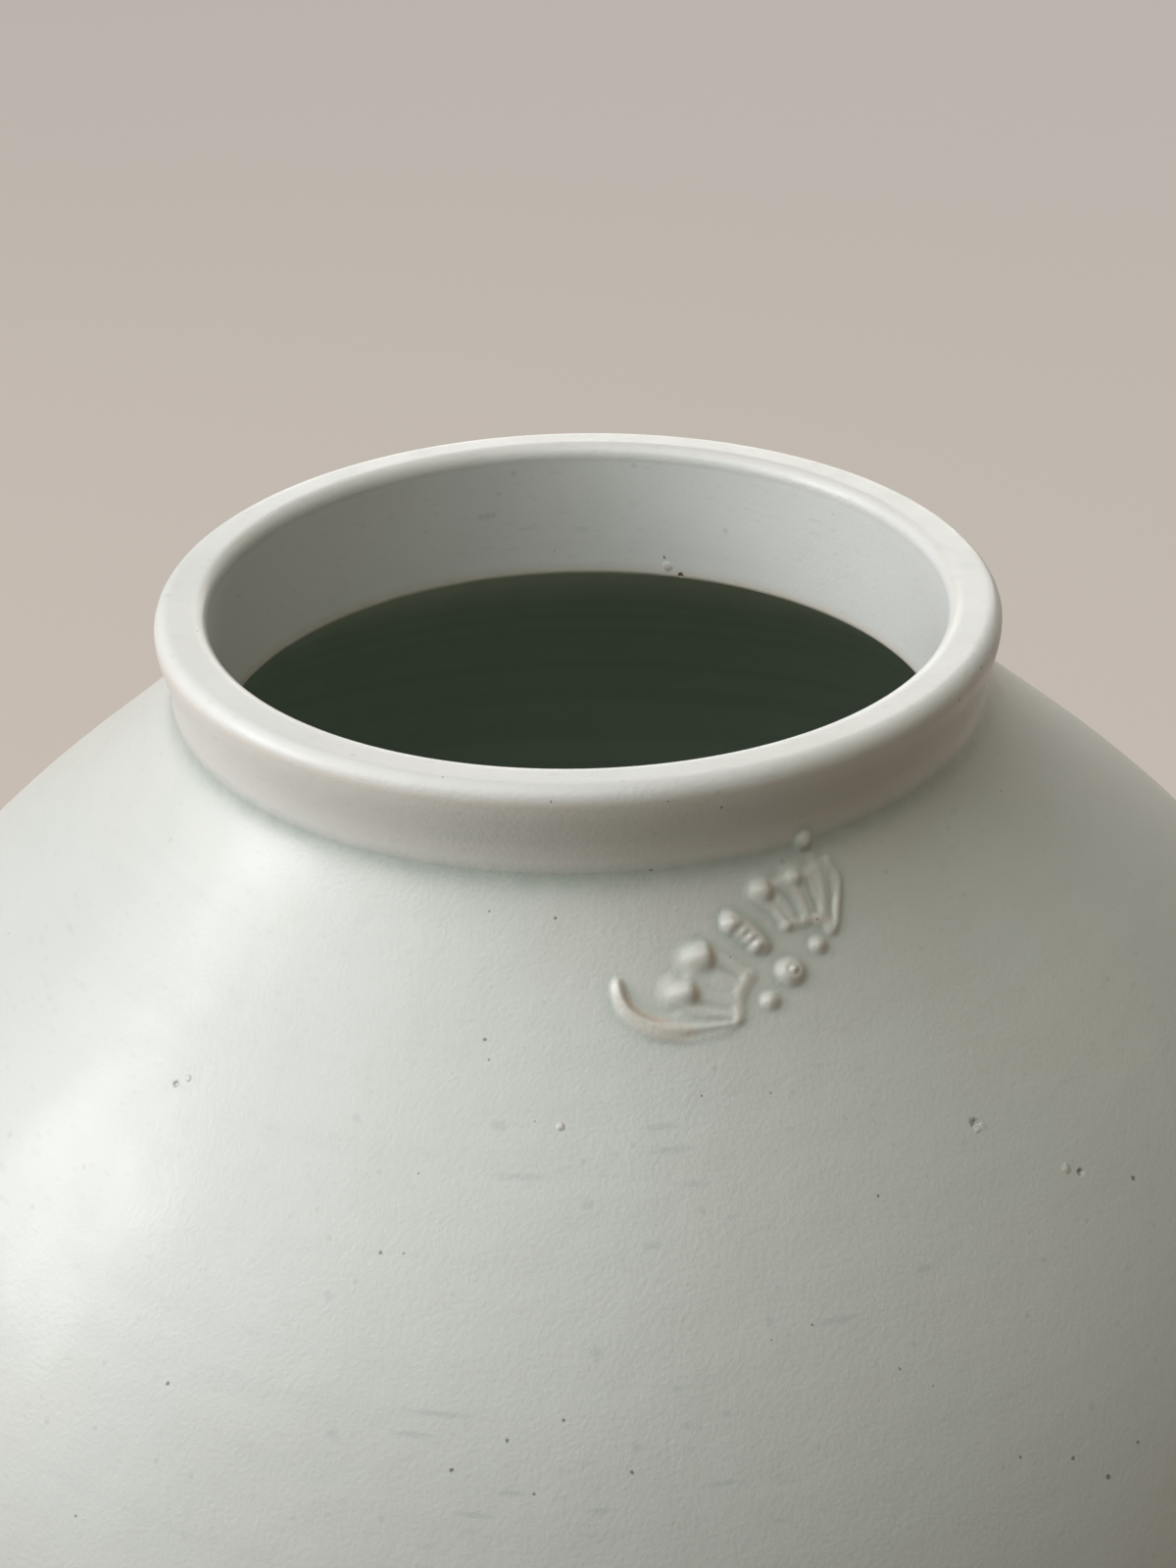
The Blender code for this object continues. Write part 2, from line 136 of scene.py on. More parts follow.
def curve_between(start, start_angle, end, end_angle, pulls, count=200):
    """A cubic curve whose ends run down at the given angles below the outward level."""
    chord = math.dist(start, end)
    a, b = pulls[0] * chord, -pulls[1] * chord
    near = (start[0] + a * math.cos(start_angle), start[1] - a * math.sin(start_angle))
    far = (end[0] + b * math.cos(end_angle), end[1] - b * math.sin(end_angle))
    return bezier((start, near, far, end), count)


def arc(centre, radius, start_angle, end_angle, count=24):
    angles = np.linspace(start_angle, end_angle, count + 1)
    return np.stack([centre[0] + radius * np.cos(angles), centre[1] + radius * np.sin(angles)], axis=1)


def joined(*lines):
    """Lines end to end, with the points that repeat taken out."""
    points = np.concatenate([np.array(line, float).reshape(-1, 2) for line in lines])
    steps = np.hypot(*np.diff(points, axis=0).T)
    return points[np.concatenate([[True], steps > TINY])]


def lengths(points):
    return np.concatenate([[0], np.cumsum(np.hypot(*np.diff(points, axis=0).T))])


def offset(points, distance):
    """The same line moved square to itself towards the jar's inside."""
    along = np.gradient(points, axis=0)
    along /= np.hypot(*along.T)[:, None]
    return points + np.stack([along[:, 1], -along[:, 0]], axis=1) * distance


DOWN = math.pi / 2
SADDLE = (SADDLE_RADIUS, SADDLE_HEIGHT)


def lip_line():
    """Over the lip, from the mouth's edge to the top of the neck's outside."""
    inner = (MOUTH_RADIUS + LIP_INNER_ROUND, TOP - LIP_INNER_ROUND)
    outer = (RIM_RADIUS - LIP_ROUND, TOP - LIP_ROUND)
    return joined(arc(inner, LIP_INNER_ROUND, math.pi, math.pi / 2), arc(outer, LIP_ROUND, math.pi / 2, 0))


def neck_line():
    top = (RIM_RADIUS, TOP - LIP_ROUND)
    bottom = (NECK_RADIUS, NECK_FOOT)
    drop = top[1] - bottom[1]
    near = (RIM_RADIUS, top[1] - NECK_PULLS[0] * drop)
    far = (NECK_RADIUS - NECK_HOLLOW, bottom[1] + NECK_PULLS[1] * drop)
    return bezier((top, near, far, bottom), 200)


def foot_line():
    """Round the foot ring, from its top outside, under it, to its top inside."""
    outer, inner = FOOT_RADIUS - FOOT_TAPER, FOOT_RADIUS - FOOT_WIDTH
    return joined([(FOOT_RADIUS, FOOT_TOP)],
                  arc((outer - FOOT_ROUND, FOOT_ROUND), FOOT_ROUND, 0, -DOWN, 10),
                  arc((inner + FOOT_ROUND, FOOT_ROUND), FOOT_ROUND, -DOWN, -math.pi, 10),
                  [(inner, FOOT_TOP)])


shoulder_line = curve_between(SADDLE, SADDLE_SLOPE, (BELLY_RADIUS, WAIST_HIGH), DOWN, SHOULDER_PULLS)
lower_line = curve_between((BELLY_RADIUS, WAIST_LOW), DOWN, (FOOT_RADIUS, FOOT_TOP),
                           math.pi - FOOT_SLOPE, LOWER_PULLS)
above_foot = joined(lip_line(), neck_line())
flare_line = curve_between((NECK_RADIUS, NECK_FOOT), DOWN, SADDLE, SADDLE_SLOPE, FLARE_PULLS)
OUTER = joined(above_foot, flare_line, shoulder_line, lower_line, foot_line())
OUTER_ARC = lengths(OUTER) - lengths(above_foot)[-1]


def outer_at(arcs):
    return np.stack([np.interp(arcs, OUTER_ARC, OUTER[:, k]) for k in (0, 1)], axis=1)


# Rows and columns of the grid

def graded(start, end, first, last, growth=GROWTH):
    """Places from start to end whose steps grow or shrink from the first step to the last."""
    steps, step = [], first
    ratio = growth if last > first else 1 / growth
    while (step < last) == (first < last) and sum(steps) + step < end - start:
        steps.append(step)
        step *= ratio
    left = end - start - sum(steps)
    count = max(1, round(left / last))
    steps += [left / count] * count
    return start + np.concatenate([[0], np.cumsum(steps)])


def arc_of_height(height, below=0):
    """Arc at which the outline passes a height, searched after the given arc."""
    inside = OUTER_ARC >= below
    heights = -OUTER[inside, 1]
    return float(np.interp(-height, heights, OUTER_ARC[inside]))


ARC_LIP = OUTER_ARC[0]
ARC_NECK = ARC_LIP + lengths(lip_line())[-1]
ARC_WAIST_HIGH = arc_of_height(WAIST_HIGH)
ARC_WAIST_LOW = arc_of_height(WAIST_LOW)
ARC_FOOT = ARC_WAIST_LOW + lengths(lower_line)[-1]
ARC_END = OUTER_ARC[-1]


def make_rows():
    parts = [graded(ARC_LIP, ARC_NECK, LIP_ROW, LIP_ROW),
             graded(ARC_NECK, BAT_ROWS[0], LIP_ROW, FINE_ROW),
             graded(BAT_ROWS[0], 0, FINE_ROW, FINE_ROW),
             graded(0, BAT_ROWS[1], FINE_ROW, FINE_ROW),
             graded(BAT_ROWS[1], ARC_WAIST_HIGH, FINE_ROW, COARSE_ROW),
             graded(ARC_WAIST_HIGH, ARC_WAIST_LOW, LIP_ROW, LIP_ROW),
             graded(ARC_WAIST_LOW, ARC_FOOT, COARSE_ROW, COARSE_ROW),
             graded(ARC_FOOT, ARC_END, LIP_ROW, LIP_ROW)]
    return np.unique(np.round(np.concatenate(parts), 9))


def make_columns():
    fine = graded(*BAT_SECTOR, FINE_COLUMN, FINE_COLUMN)
    half = (BAT_SECTOR[1] + BAT_SECTOR[0] + 2 * math.pi) / 2
    out = graded(BAT_SECTOR[1], half, FINE_COLUMN, COARSE_COLUMN)
    back = BAT_SECTOR[0] + BAT_SECTOR[1] + 2 * math.pi - out[::-1]
    return np.concatenate([fine[:-1], out[:-1], back[:-1]])


ROWS = make_rows()
COLUMNS = make_columns()


def turned(points, columns=COLUMNS):
    """The points of an outline at each column: an array of row, column and (x, y, z)."""
    radius, height = points[:, 0, None], points[:, 1, None]
    return np.stack([radius * np.sin(columns), -radius * np.cos(columns),
                     np.broadcast_to(height, (len(points), len(columns)))], axis=2)


def grid_normals(grid):
    """Outward normals of a grid that closes round its columns."""
    down = np.gradient(grid, axis=0)
    round_jar = np.roll(grid, -1, axis=1) - np.roll(grid, 1, axis=1)
    normals = np.cross(down, round_jar)
    return normals / np.linalg.norm(normals, axis=2, keepdims=True)


# The bat's heights over the skin, worked out on a raster in millimetres along the bat and across it

RASTER = 0.14
ALONG, ACROSS = np.meshgrid(np.arange(-20, 24, RASTER), np.arange(-38, 36, RASTER), indexing="ij")


def smooth_run(points, count=6):
    """Rows of a table joined by a smooth curve through them."""
    points = np.array(points, float)
    padded = np.concatenate([2 * points[:1] - points[1:2], points, 2 * points[-1:] - points[-2:-1]])
    t = np.linspace(0, 1, count, endpoint=False)[:, None]
    run = []
    for a, b, c, d in zip(padded, padded[1:], padded[2:], padded[3:]):
        run.append(0.5 * (2 * b + (c - a) * t + (2 * a - 5 * b + 4 * c - d) * t ** 2
                          + (3 * b - a - 3 * c + d) * t ** 3))
    return np.concatenate(run + [points[-1:]])


def from_segment(a, b):
    """Distance of each raster point from a segment, how far along it lies, and on which side."""
    step = b[:2] - a[:2]
    far_along, far_across = ALONG - a[0], ACROSS - a[1]
    share = np.clip((far_along * step[0] + far_across * step[1]) / max(step @ step, 1e-9), 0, 1)
    side = far_along * step[1] - far_across * step[0]
    return np.hypot(far_along - share * step[0], far_across - share * step[1]), share, side


def ridge(*points, crown=1.0, fading=False):
    """A rounded ridge through rows of (along, across, half width, height).

    A row may end with a second half width, for the left of the way that the ridge runs. A fading ridge
    has no foot.
    """
    heights = np.zeros_like(ALONG)
    run = smooth_run(points)
    for a, b in zip(run, run[1:]):
        distance, share, side = from_segment(a, b)
        half, rise = (a[k] + (b[k] - a[k]) * share for k in (2, 3))
        if len(a) > 4:
            half = np.where(side > 0, half, a[4] + (b[4] - a[4]) * share)
        far = (distance / half) ** 2
        profile = np.exp(-far) if fading else np.clip(1 - far, 0, 1) ** crown
        heights = np.maximum(heights, rise * profile)
    return heights


def groove(*points):
    """Depths of a soft groove through rows of (along, across, half width, depth)."""
    return ridge(*points, fading=True)


def mound(along, across, back, front, side, rise, heading=52.7, crown=1.5):
    """A hump that reaches back and front from its crest by different lengths.

    The heading is in degrees from the head's way towards the right wing. A crown over 1 gives the hump
    a soft foot, and 0.5 makes it a ball's cap.
    """
    c, s = math.cos(math.radians(heading)), math.sin(math.radians(heading))
    a, b = ALONG - along, ACROSS - across
    ahead, aside = a * c + b * s, b * c - a * s
    far = (ahead / np.where(ahead > 0, front, back)) ** 2 + (aside / side) ** 2
    return rise * np.clip(1 - far, 0, 1) ** crown


def dome(along, across, radius, rise, crown=1.5):
    """A round hump."""
    return mound(along, across, radius, radius, radius, rise, crown=crown)


def slab(points, rise, slope):
    """A raised sheet with the given corners, whose edge rises over the slope's width."""
    corners = smooth_run(list(points) + [points[0]], 4)
    nearest = np.full_like(ALONG, 99.0)
    inside = np.zeros(ALONG.shape, bool)
    for a, b in zip(corners, corners[1:]):
        nearest = np.minimum(nearest, from_segment(a, b)[0])
        crosses = (a[1] > ACROSS) != (b[1] > ACROSS)
        drop = b[1] - a[1] if abs(b[1] - a[1]) > 1e-9 else 1e-9
        inside ^= crosses & (ALONG < a[0] + (b[0] - a[0]) * (ACROSS - a[1]) / drop)
    share = np.clip(np.where(inside, nearest, 0) / slope, 0, 1)
    return rise * share * share * (3 - 2 * share)


def soften(heights, spread):
    """Heights blurred as a thick glaze blurs them. The spread is in millimetres."""
    along = np.fft.fftfreq(heights.shape[0], RASTER)[:, None]
    across = np.fft.rfftfreq(heights.shape[1], RASTER)[None, :]
    fade = np.exp(-2 * (math.pi * spread) ** 2 * (along ** 2 + across ** 2))
    return np.fft.irfft2(np.fft.rfft2(heights) * fade, heights.shape)


def highest(*fields):
    return np.maximum.reduce(fields)


def merged(*fields, blend=4):
    """The fields together, with a soft corner where two of them cross."""
    return sum(np.maximum(field, 0) ** blend for field in fields) ** (1 / blend)


def body_heights():
    """The ribbed body: a trunk with a large knob and three small ones, cut apart by slanting grooves."""
    knobs = merged(
        ridge((-4.2, 0.1, 2.4, 1.4), (-1.0, 0.3, 2.8, 1.8), (2.4, 0.4, 2.6, 1.85), (4.4, 0.3, 2.1, 1.6)),
        mound(-3.5, -0.4, 2.6, 3.4, 2.6, 2.6, 40, 1.0), mound(-0.6, -0.4, 1.7, 2.4, 1.4, 2.15, 76),
        mound(1.4, -0.4, 1.7, 2.4, 1.4, 2.2, 76), mound(3.5, -0.5, 2.0, 2.6, 1.9, 2.4, 62, 1.1), blend=6)
    for along in (-2.0, 0.3, 2.4):
        knobs = knobs - groove((along - 0.5, -2.6, 0.35, 0.05), (along - 0.3, -1.4, 0.4, 0.2),
                               (along, 0.1, 0.4, 0.2), (along + 0.4, 1.4, 0.4, 0.05))
    return knobs


def head_heights():
    """The round head, with a ring and a bead on it."""
    away = np.hypot(ALONG - 12.5, ACROSS + 0.1)
    ring = 0.3 * np.exp(-((away - 1.75) / 0.4) ** 2) - 0.5 * np.exp(-((away - 1.15) / 0.32) ** 2)
    return merged(dome(12.4, -0.4, 3.4, 2.1, 1.1) + ring, dome(12.5, -0.1, 1.0, 3.0, 0.6), blend=8)


def left_wing_heights():
    """Two lobes with ribs from them to a scalloped inner edge, and a crescent outside them."""
    pad = slab([
        (6.9, -6.2), (2.6, -6.4), (-1.4, -6.6), (-4.6, -8.2), (-5.2, -11.5), (-4.0, -14.6), (-4.0, -18.5),
        (-2.4, -21.4), (0.2, -22.4), (-1.8, -25.0), (-6.0, -26.6), (-9.4, -26.2), (-10.2, -28.2),
        (-8.0, -30.6), (-4.5, -31.2), (-1.2, -30.6), (3.3, -28.9), (6.3, -27.0), (9.4, -23.4),
        (11.9, -19.8), (12.4, -17.2), (11.2, -14.6), (9.4, -11.6), (8.0, -9.0), (7.9, -7.0)], 0.3, 2.0)
    sheet = slab([
        (6.9, -6.4), (2.6, -6.7), (-1.4, -6.7), (-4.6, -8.2), (-5.2, -11.5), (-3.4, -14.6), (-3.6, -17.5),
        (-2.4, -20.8), (1.2, -21.2), (4.4, -21.2), (6.6, -21.6), (9.6, -19.2), (11.9, -17.0),
        (11.2, -14.8), (9.3, -11.8), (7.9, -9.2), (7.6, -7.0)], 0.5, 2.6)
    lobes = (
        mound(-3.7, -11.7, 5.6, 6.4, 5.4, 1.0, crown=2.0),
        mound(-1.9, -19.1, 5.0, 5.4, 5.0, 0.9, crown=2.0),
        mound(-3.1, -9.7, 5.8, 2.1, 3.8, 2.5, 52, 1.25), mound(-0.1, -17.8, 5.4, 2.0, 3.4, 2.3, 52, 1.25),
        ridge((-3.0, -13.6, 2.6, 0.6), (-2.1, -15.4, 2.4, 0.6), (-2.0, -16.8, 2.4, 0.6), crown=1.5))
    ribs = (
        ridge((-2.2, -8.2, 2.0, 0.5), (1.7, -7.4, 1.7, 0.75), (5.9, -7.0, 1.5, 0.75), crown=1.5),
        ridge((0.4, -20.1, 1.8, 0.9), (4.4, -19.2, 1.5, 0.8), (8.0, -16.6, 1.4, 0.75),
              (10.4, -15.4, 1.3, 0.7), crown=1.5))
    inner_edge = ridge(
        (6.2, -6.8, 2.0, 0.8), (6.5, -8.6, 1.8, 0.65), (7.0, -10.6, 1.9, 0.8), (8.2, -12.4, 1.7, 0.6),
        (9.6, -14.2, 1.7, 0.75), (10.7, -15.5, 1.4, 1.1), crown=1.4)
    crescent = (
        ridge((5.6, -22.0, 1.1, 0.55), (8.4, -19.4, 1.0, 0.55), (10.8, -16.6, 1.0, 0.6), crown=1.4),
        ridge((-11.3, -26.6, 1.1, 1.2, 1.0), (-10.2, -27.1, 1.8, 1.55, 0.9), (-8.2, -28.0, 2.2, 1.5, 0.8),
              (-5.4, -28.6, 2.6, 1.4, 0.8), (-2.2, -28.1, 3.2, 1.3, 0.9), (0.8, -26.8, 3.6, 1.25, 1.3),
              (3.4, -25.0, 2.8, 1.2, 1.5), (5.6, -22.9, 1.7, 0.95, 1.3), (8.0, -20.0, 1.1, 0.75, 1.0),
              (10.0, -17.4, 1.0, 0.7, 0.9), crown=1.4),
        ridge((-5.5, -30.0, 1.2, 0.8), (-1.0, -29.6, 1.2, 0.8), (3.6, -27.6, 1.1, 0.6),
              (7.2, -24.6, 0.9, 0.3), (9.4, -21.8, 0.6, 0.05), crown=1.4))
    grooves = (
        groove((-0.4, -9.9, 0.7, 0.1), (1.8, -9.2, 0.65, 0.4), (4.6, -8.5, 0.65, 0.35)),
        groove((1.6, -13.9, 0.7, 0.05), (3.9, -13.4, 0.7, 0.12), (6.0, -11.6, 0.6, 0.05)),
        groove((1.2, -18.3, 0.7, 0.2), (3.1, -17.5, 0.7, 0.4), (5.8, -16.2, 0.65, 0.35),
               (8.0, -14.6, 0.6, 0.2)),
        groove((4.6, -21.0, 0.5, 0.1), (7.2, -18.8, 0.45, 0.2), (9.8, -16.4, 0.4, 0.15)))
    return merged(pad, sheet, *lobes, *ribs, inner_edge, *crescent) - highest(*grooves)


def right_wing_heights():
    """Two lobes with ribs from them to a scalloped inner edge, bent up over the neck's foot to a bead."""
    sheet = slab([
        (6.1, 6.3), (2.7, 7.0), (-0.4, 6.3), (-3.4, 7.2), (-4.4, 9.2), (-3.6, 11.8), (-1.4, 13.4),
        (-1.0, 15.6), (-0.4, 18.6), (1.8, 20.4), (2.6, 22.6), (3.6, 25.6), (7.2, 26.4), (10.8, 25.0),
        (12.6, 22.2), (14.0, 18.8), (15.4, 15.9), (15.7, 13.2), (14.6, 12.0), (12.4, 12.4), (10.5, 12.4),
        (8.8, 10.4), (7.4, 8.3)], 0.6, 2.4)
    lobes = (
        mound(-2.7, 9.7, 5.2, 5.2, 4.8, 0.9, crown=2.0), mound(-2.3, 10.1, 4.2, 2.6, 3.3, 2.4, 52, 1.3),
        mound(1.4, 16.8, 4.4, 4.6, 4.2, 0.8, crown=2.0), mound(1.8, 17.3, 3.2, 2.3, 2.7, 1.8, 52, 1.3),
        ridge((-1.6, 11.8, 1.9, 0.8), (-0.2, 13.8, 1.9, 0.7), (0.8, 15.6, 2.1, 0.9), crown=1.5))
    outer_edges = (
        ridge((-1.4, 8.2, 1.7, 1.15), (1.6, 8.5, 1.5, 1.05), (3.4, 8.2, 1.3, 1.15), (6.3, 7.6, 1.3, 1.2),
              crown=1.3),
        ridge((-1.0, 25.0, 2.4, 0.6), (2.4, 24.2, 2.2, 0.5), (5.2, 22.6, 2.0, 0.7), (8.4, 19.2, 1.7, 0.9),
              (11.2, 14.9, 1.6, 0.9), crown=1.6))
    inner_edge = ridge(
        (6.0, 7.4, 1.7, 1.15), (7.2, 9.0, 1.5, 0.7), (8.3, 10.6, 1.9, 1.0), (9.5, 12.2, 1.5, 0.75),
        (10.9, 13.1, 1.9, 1.05), (12.6, 13.3, 1.6, 0.8), (14.5, 12.8, 1.7, 1.05), crown=1.4)
    ribs = (
        ridge((1.6, 10.6, 1.5, 0.9), (4.6, 10.2, 1.5, 0.95), (7.4, 9.2, 1.2, 0.8), crown=1.4),
        ridge((1.6, 15.6, 1.8, 1.1), (4.8, 14.6, 1.8, 1.1), (8.2, 12.6, 1.5, 0.9), crown=1.4),
        ridge((6.5, 25.4, 1.4, 0.8), (10.2, 24.0, 1.3, 0.85), (12.0, 20.8, 1.3, 0.95),
              (13.0, 18.2, 1.3, 1.15), (14.3, 15.6, 1.3, 0.95), (15.0, 13.2, 1.2, 0.95), crown=1.3))
    grooves = (
        groove((0.6, 12.5, 0.7, 0.25), (3.3, 12.3, 0.65, 0.45), (5.4, 11.7, 0.6, 0.45),
               (7.7, 10.4, 0.55, 0.3)),
        groove((4.4, 18.8, 0.7, 0.3), (6.6, 16.8, 0.6, 0.45), (8.8, 15.3, 0.6, 0.45),
               (10.0, 14.0, 0.5, 0.25)),
        groove((8.4, 22.8, 0.6, 0.2), (11.0, 19.2, 0.55, 0.35), (11.9, 17.2, 0.55, 0.4),
               (13.6, 14.9, 0.5, 0.3)))
    wing = merged(sheet, *lobes, *outer_edges, inner_edge, *ribs) - highest(*grooves)
    return merged(wing, dome(-1.3, 25.1, 2.6, 2.1, 1.1), blend=6)


BAT_FIELDS = {"bat_body": body_heights(),
              "bat_head": head_heights(),
              "right_pearl": dome(14.0, 8.1, 2.2, 1.6, 1.2),
              "left_pearl": dome(12.9, -8.1, 2.2, 1.6, 1.2),
              "bat_left_wing": left_wing_heights(),
              "bat_right_wing": right_wing_heights()}

# Shares from 0 to 1 on the same raster: where the glaze is thin and creamy, and the flanks turned from the
# light, where thin glaze is painted with a warm brown shade
THIN_PLACES = highest(
    ridge((-11.2, -26.7, 1.0, 0.5), (-7.5, -28.5, 1.9, 0.8), (-2.2, -28.3, 2.5, 0.9),
          (2.0, -26.6, 2.6, 0.9), (5.2, -24.2, 2.2, 0.7), crown=0.7),
    ridge((6.5, -7.0, 1.5, 0.6), (6.7, -9.4, 1.3, 0.6), (7.8, -11.8, 1.2, 0.6), (9.4, -13.8, 1.2, 0.6),
          (10.8, -15.5, 1.4, 0.8)),
    ridge((-4.8, -9.6, 1.4, 0.5), (-3.4, -11.4, 1.6, 0.6), (-2.4, -13.8, 1.2, 0.4)),
    ridge((-2.2, -17.6, 1.4, 0.5), (-1.2, -19.8, 1.4, 0.5)),
    ridge((6.4, 7.4, 1.4, 0.6), (8.0, 9.7, 1.2, 0.6), (10.4, 12.6, 1.3, 0.7), (12.4, 13.4, 1.3, 0.7),
          (14.6, 12.7, 1.2, 0.6)),
    ridge((0.4, 15.4, 1.2, 0.4), (3.4, 14.8, 1.1, 0.4), (7.0, 13.4, 1.0, 0.4)),
    ridge((2.8, 21.4, 1.3, 0.4), (6.6, 19.6, 1.2, 0.4), (10.4, 15.8, 1.0, 0.4)))
# Thin glaze with painted warm shade on the flanks of lobes, body, head, pearls and crescent that face away
# from the light
FLANK_THIN_GLAZE_AND_SHADE_PLACES = highest(
    ridge((-4.0, -7.2, 1.0, 0.4), (-2.3, -8.4, 1.5, 0.8), (-0.6, -10.2, 1.3, 0.45)),
    ridge((-0.8, -15.6, 1.0, 0.4), (0.9, -16.7, 1.4, 0.8), (2.6, -18.2, 1.1, 0.4)),
    ridge((-2.4, 12.6, 1.0, 0.5), (-1.0, 11.0, 1.4, 0.75), (-0.2, 9.4, 1.1, 0.4)),
    ridge((-1.4, 2.0, 0.9, 0.3), (2.0, 2.2, 0.9, 0.35), (4.6, 1.6, 1.0, 0.45), (5.4, 0.4, 0.8, 0.3)),
    ridge((12.4, 2.6, 0.8, 0.3), (14.2, 1.6, 1.0, 0.4), (14.9, -0.2, 1.0, 0.4), (14.9, -1.6, 0.8, 0.3)),
    ridge((-11.2, -25.8, 0.5, 0.3), (-8.4, -27.2, 0.7, 0.7), (-5.6, -27.7, 0.7, 0.7),
          (-3.0, -27.5, 0.7, 0.7), (-0.4, -26.2, 0.7, 0.6), (1.4, -24.6, 0.6, 0.3)),
    dome(2.7, 17.6, 1.4, 0.4), dome(6.0, -23.6, 1.2, 0.4),
    mound(14.9, 8.5, 1.3, 1.3, 1.5, 0.4), mound(13.8, -7.7, 1.3, 1.3, 1.5, 0.4))

# How the glaze lies over the bat: it lowers all heights, rounds them, pools beside them and thins on them.
# The pools are also darkened as painted shade, and the flanks turned from the light take painted warm
# shade.
RELIEF = 0.84
GLAZE_SPREAD = 0.32
THIN_SPREAD = 0.3
FLANK_SHADE_SPREAD = 0.25
POOL_SPREAD = 1.5
POOL_FULL = 0.55
CREST_FULL = 1.8


def sampled(raster, along, across):
    """Values of a raster at places in metres along and across the bat, nought outside it."""
    i = (along / MM - ALONG[0, 0]) / RASTER
    j = (across / MM - ACROSS[0, 0]) / RASTER
    inside = (i >= 0) & (i < raster.shape[0] - 1) & (j >= 0) & (j < raster.shape[1] - 1)
    i, j = np.where(inside, i, 0), np.where(inside, j, 0)
    a, b = i.astype(int), j.astype(int)
    u, v = i - a, j - b
    value = ((raster[a, b] * (1 - u) + raster[a + 1, b] * u) * (1 - v)
             + (raster[a, b + 1] * (1 - u) + raster[a + 1, b + 1] * u) * v)
    return np.where(inside, value, 0)


class Skin:
    """The jar's outside: its grid, the bat's heights over it, and how the glaze lies on it, with its
    painted shade.
    """

    def __init__(self):
        arcs, columns = np.meshgrid(ROWS, COLUMNS, indexing="ij")
        self.flat = turned(outer_at(ROWS))
        self.flat += grid_normals(self.flat) * self.dents(arcs, columns)[:, :, None]
        self.out = grid_normals(self.flat)
        turn = np.where(columns > math.pi, columns - 2 * math.pi, columns)
        right, up = (turn - BAT_AZIMUTH) * BAT_RADIUS, BAT_ARC - arcs
        c, s = math.cos(BAT_LEAN), math.sin(BAT_LEAN)
        place = (right * c + up * s, up * c - right * s)
        fields = {name: np.maximum(soften(field, GLAZE_SPREAD), 0) for name, field in BAT_FIELDS.items()}
        total = highest(*fields.values())
        wide = soften(total, POOL_SPREAD)
        self.parts = {name: sampled(field, *place) * RELIEF * MM for name, field in fields.items()}
        heights = sampled(total, *place) * RELIEF * MM
        self.normals = grid_normals(self.flat + self.out * heights[:, :, None])
        # Hollows beside the bat: thick pooled glaze, darkened further as painted shade
        hollow_pool_and_shade = sampled(np.clip((wide - total) / POOL_FULL, 0, 1), *place)
        crest = sampled(np.clip((total - wide) / CREST_FULL, 0, 1), *place)
        thin = sampled(soften(THIN_PLACES, THIN_SPREAD), *place)
        # The pools and the flanks turned from the light carry painted shade besides their thick or thin
        # glaze
        self.shades = {"pool_and_shade": highest(hollow_pool_and_shade, self.crease_pool_and_shade(arcs)),
                       "edge": highest(crest, self.lip_edge(arcs), thin),
                       "flank_thin_glaze_and_shade": sampled(soften(FLANK_THIN_GLAZE_AND_SHADE_PLACES, FLANK_SHADE_SPREAD), *place),
                       "inside": np.zeros_like(arcs)}

    @staticmethod
    def dents(arcs, columns):
        """Small hollows left by the hand: never outwards, so that the jar keeps its size."""
        below_neck = np.clip(arcs / (3 * HOLLOW_FADE), 0, 1)
        above_waist = np.clip((ARC_WAIST_HIGH - arcs) / HOLLOW_FADE, 0, 1)
        under_waist = np.clip((arcs - ARC_WAIST_LOW) / HOLLOW_FADE, 0, 1)
        above_foot = np.clip((ARC_FOOT - arcs) / HOLLOW_FADE, 0, 1)
        clear = below_neck * np.maximum(above_waist, under_waist) * above_foot
        oval = 0.5 + 0.5 * np.sin(2 * columns + 0.7)
        slow = 0.5 + 0.5 * np.sin(3 * columns - 1.1 + 9 * arcs)
        rings = 0.5 + 0.5 * np.sin(2 * math.pi * arcs / RING_PITCH + 1.3 * np.sin(columns + 14 * arcs))
        return -clear * (OVAL_HOLLOW * oval + SLOW_HOLLOW * slow + RING_HOLLOW * rings)

    @staticmethod
    def crease_pool_and_shade(arcs):
        """Thick glaze in the corner at the neck's foot, and a little along the foot ring, made darker as
        painted shade too.
        """
        neck = np.exp(-((arcs - 0.0008) / np.where(arcs < 0.0008, 0.0022, 0.0034)) ** 2)
        return np.maximum(0.65 * neck, 0.5 * np.exp(-((arcs - ARC_FOOT + 0.001) / 0.003) ** 2))

    @staticmethod
    def lip_edge(arcs):
        """Thin glaze on the lip's inner edge and its outer lower corner, and fainter along the neck."""
        def line(place, spread, share):
            return share * np.exp(-((arcs - place) / spread) ** 2)
        return highest(line(ARC_LIP + 0.0034, 0.0006, 0.45), line(ARC_NECK, 0.0014, 0.6),
                       line(ARC_NECK + 0.0055, 0.0060, 0.22), line(-0.0055, 0.0030, 0.22))


skin = Skin()


# Meshes

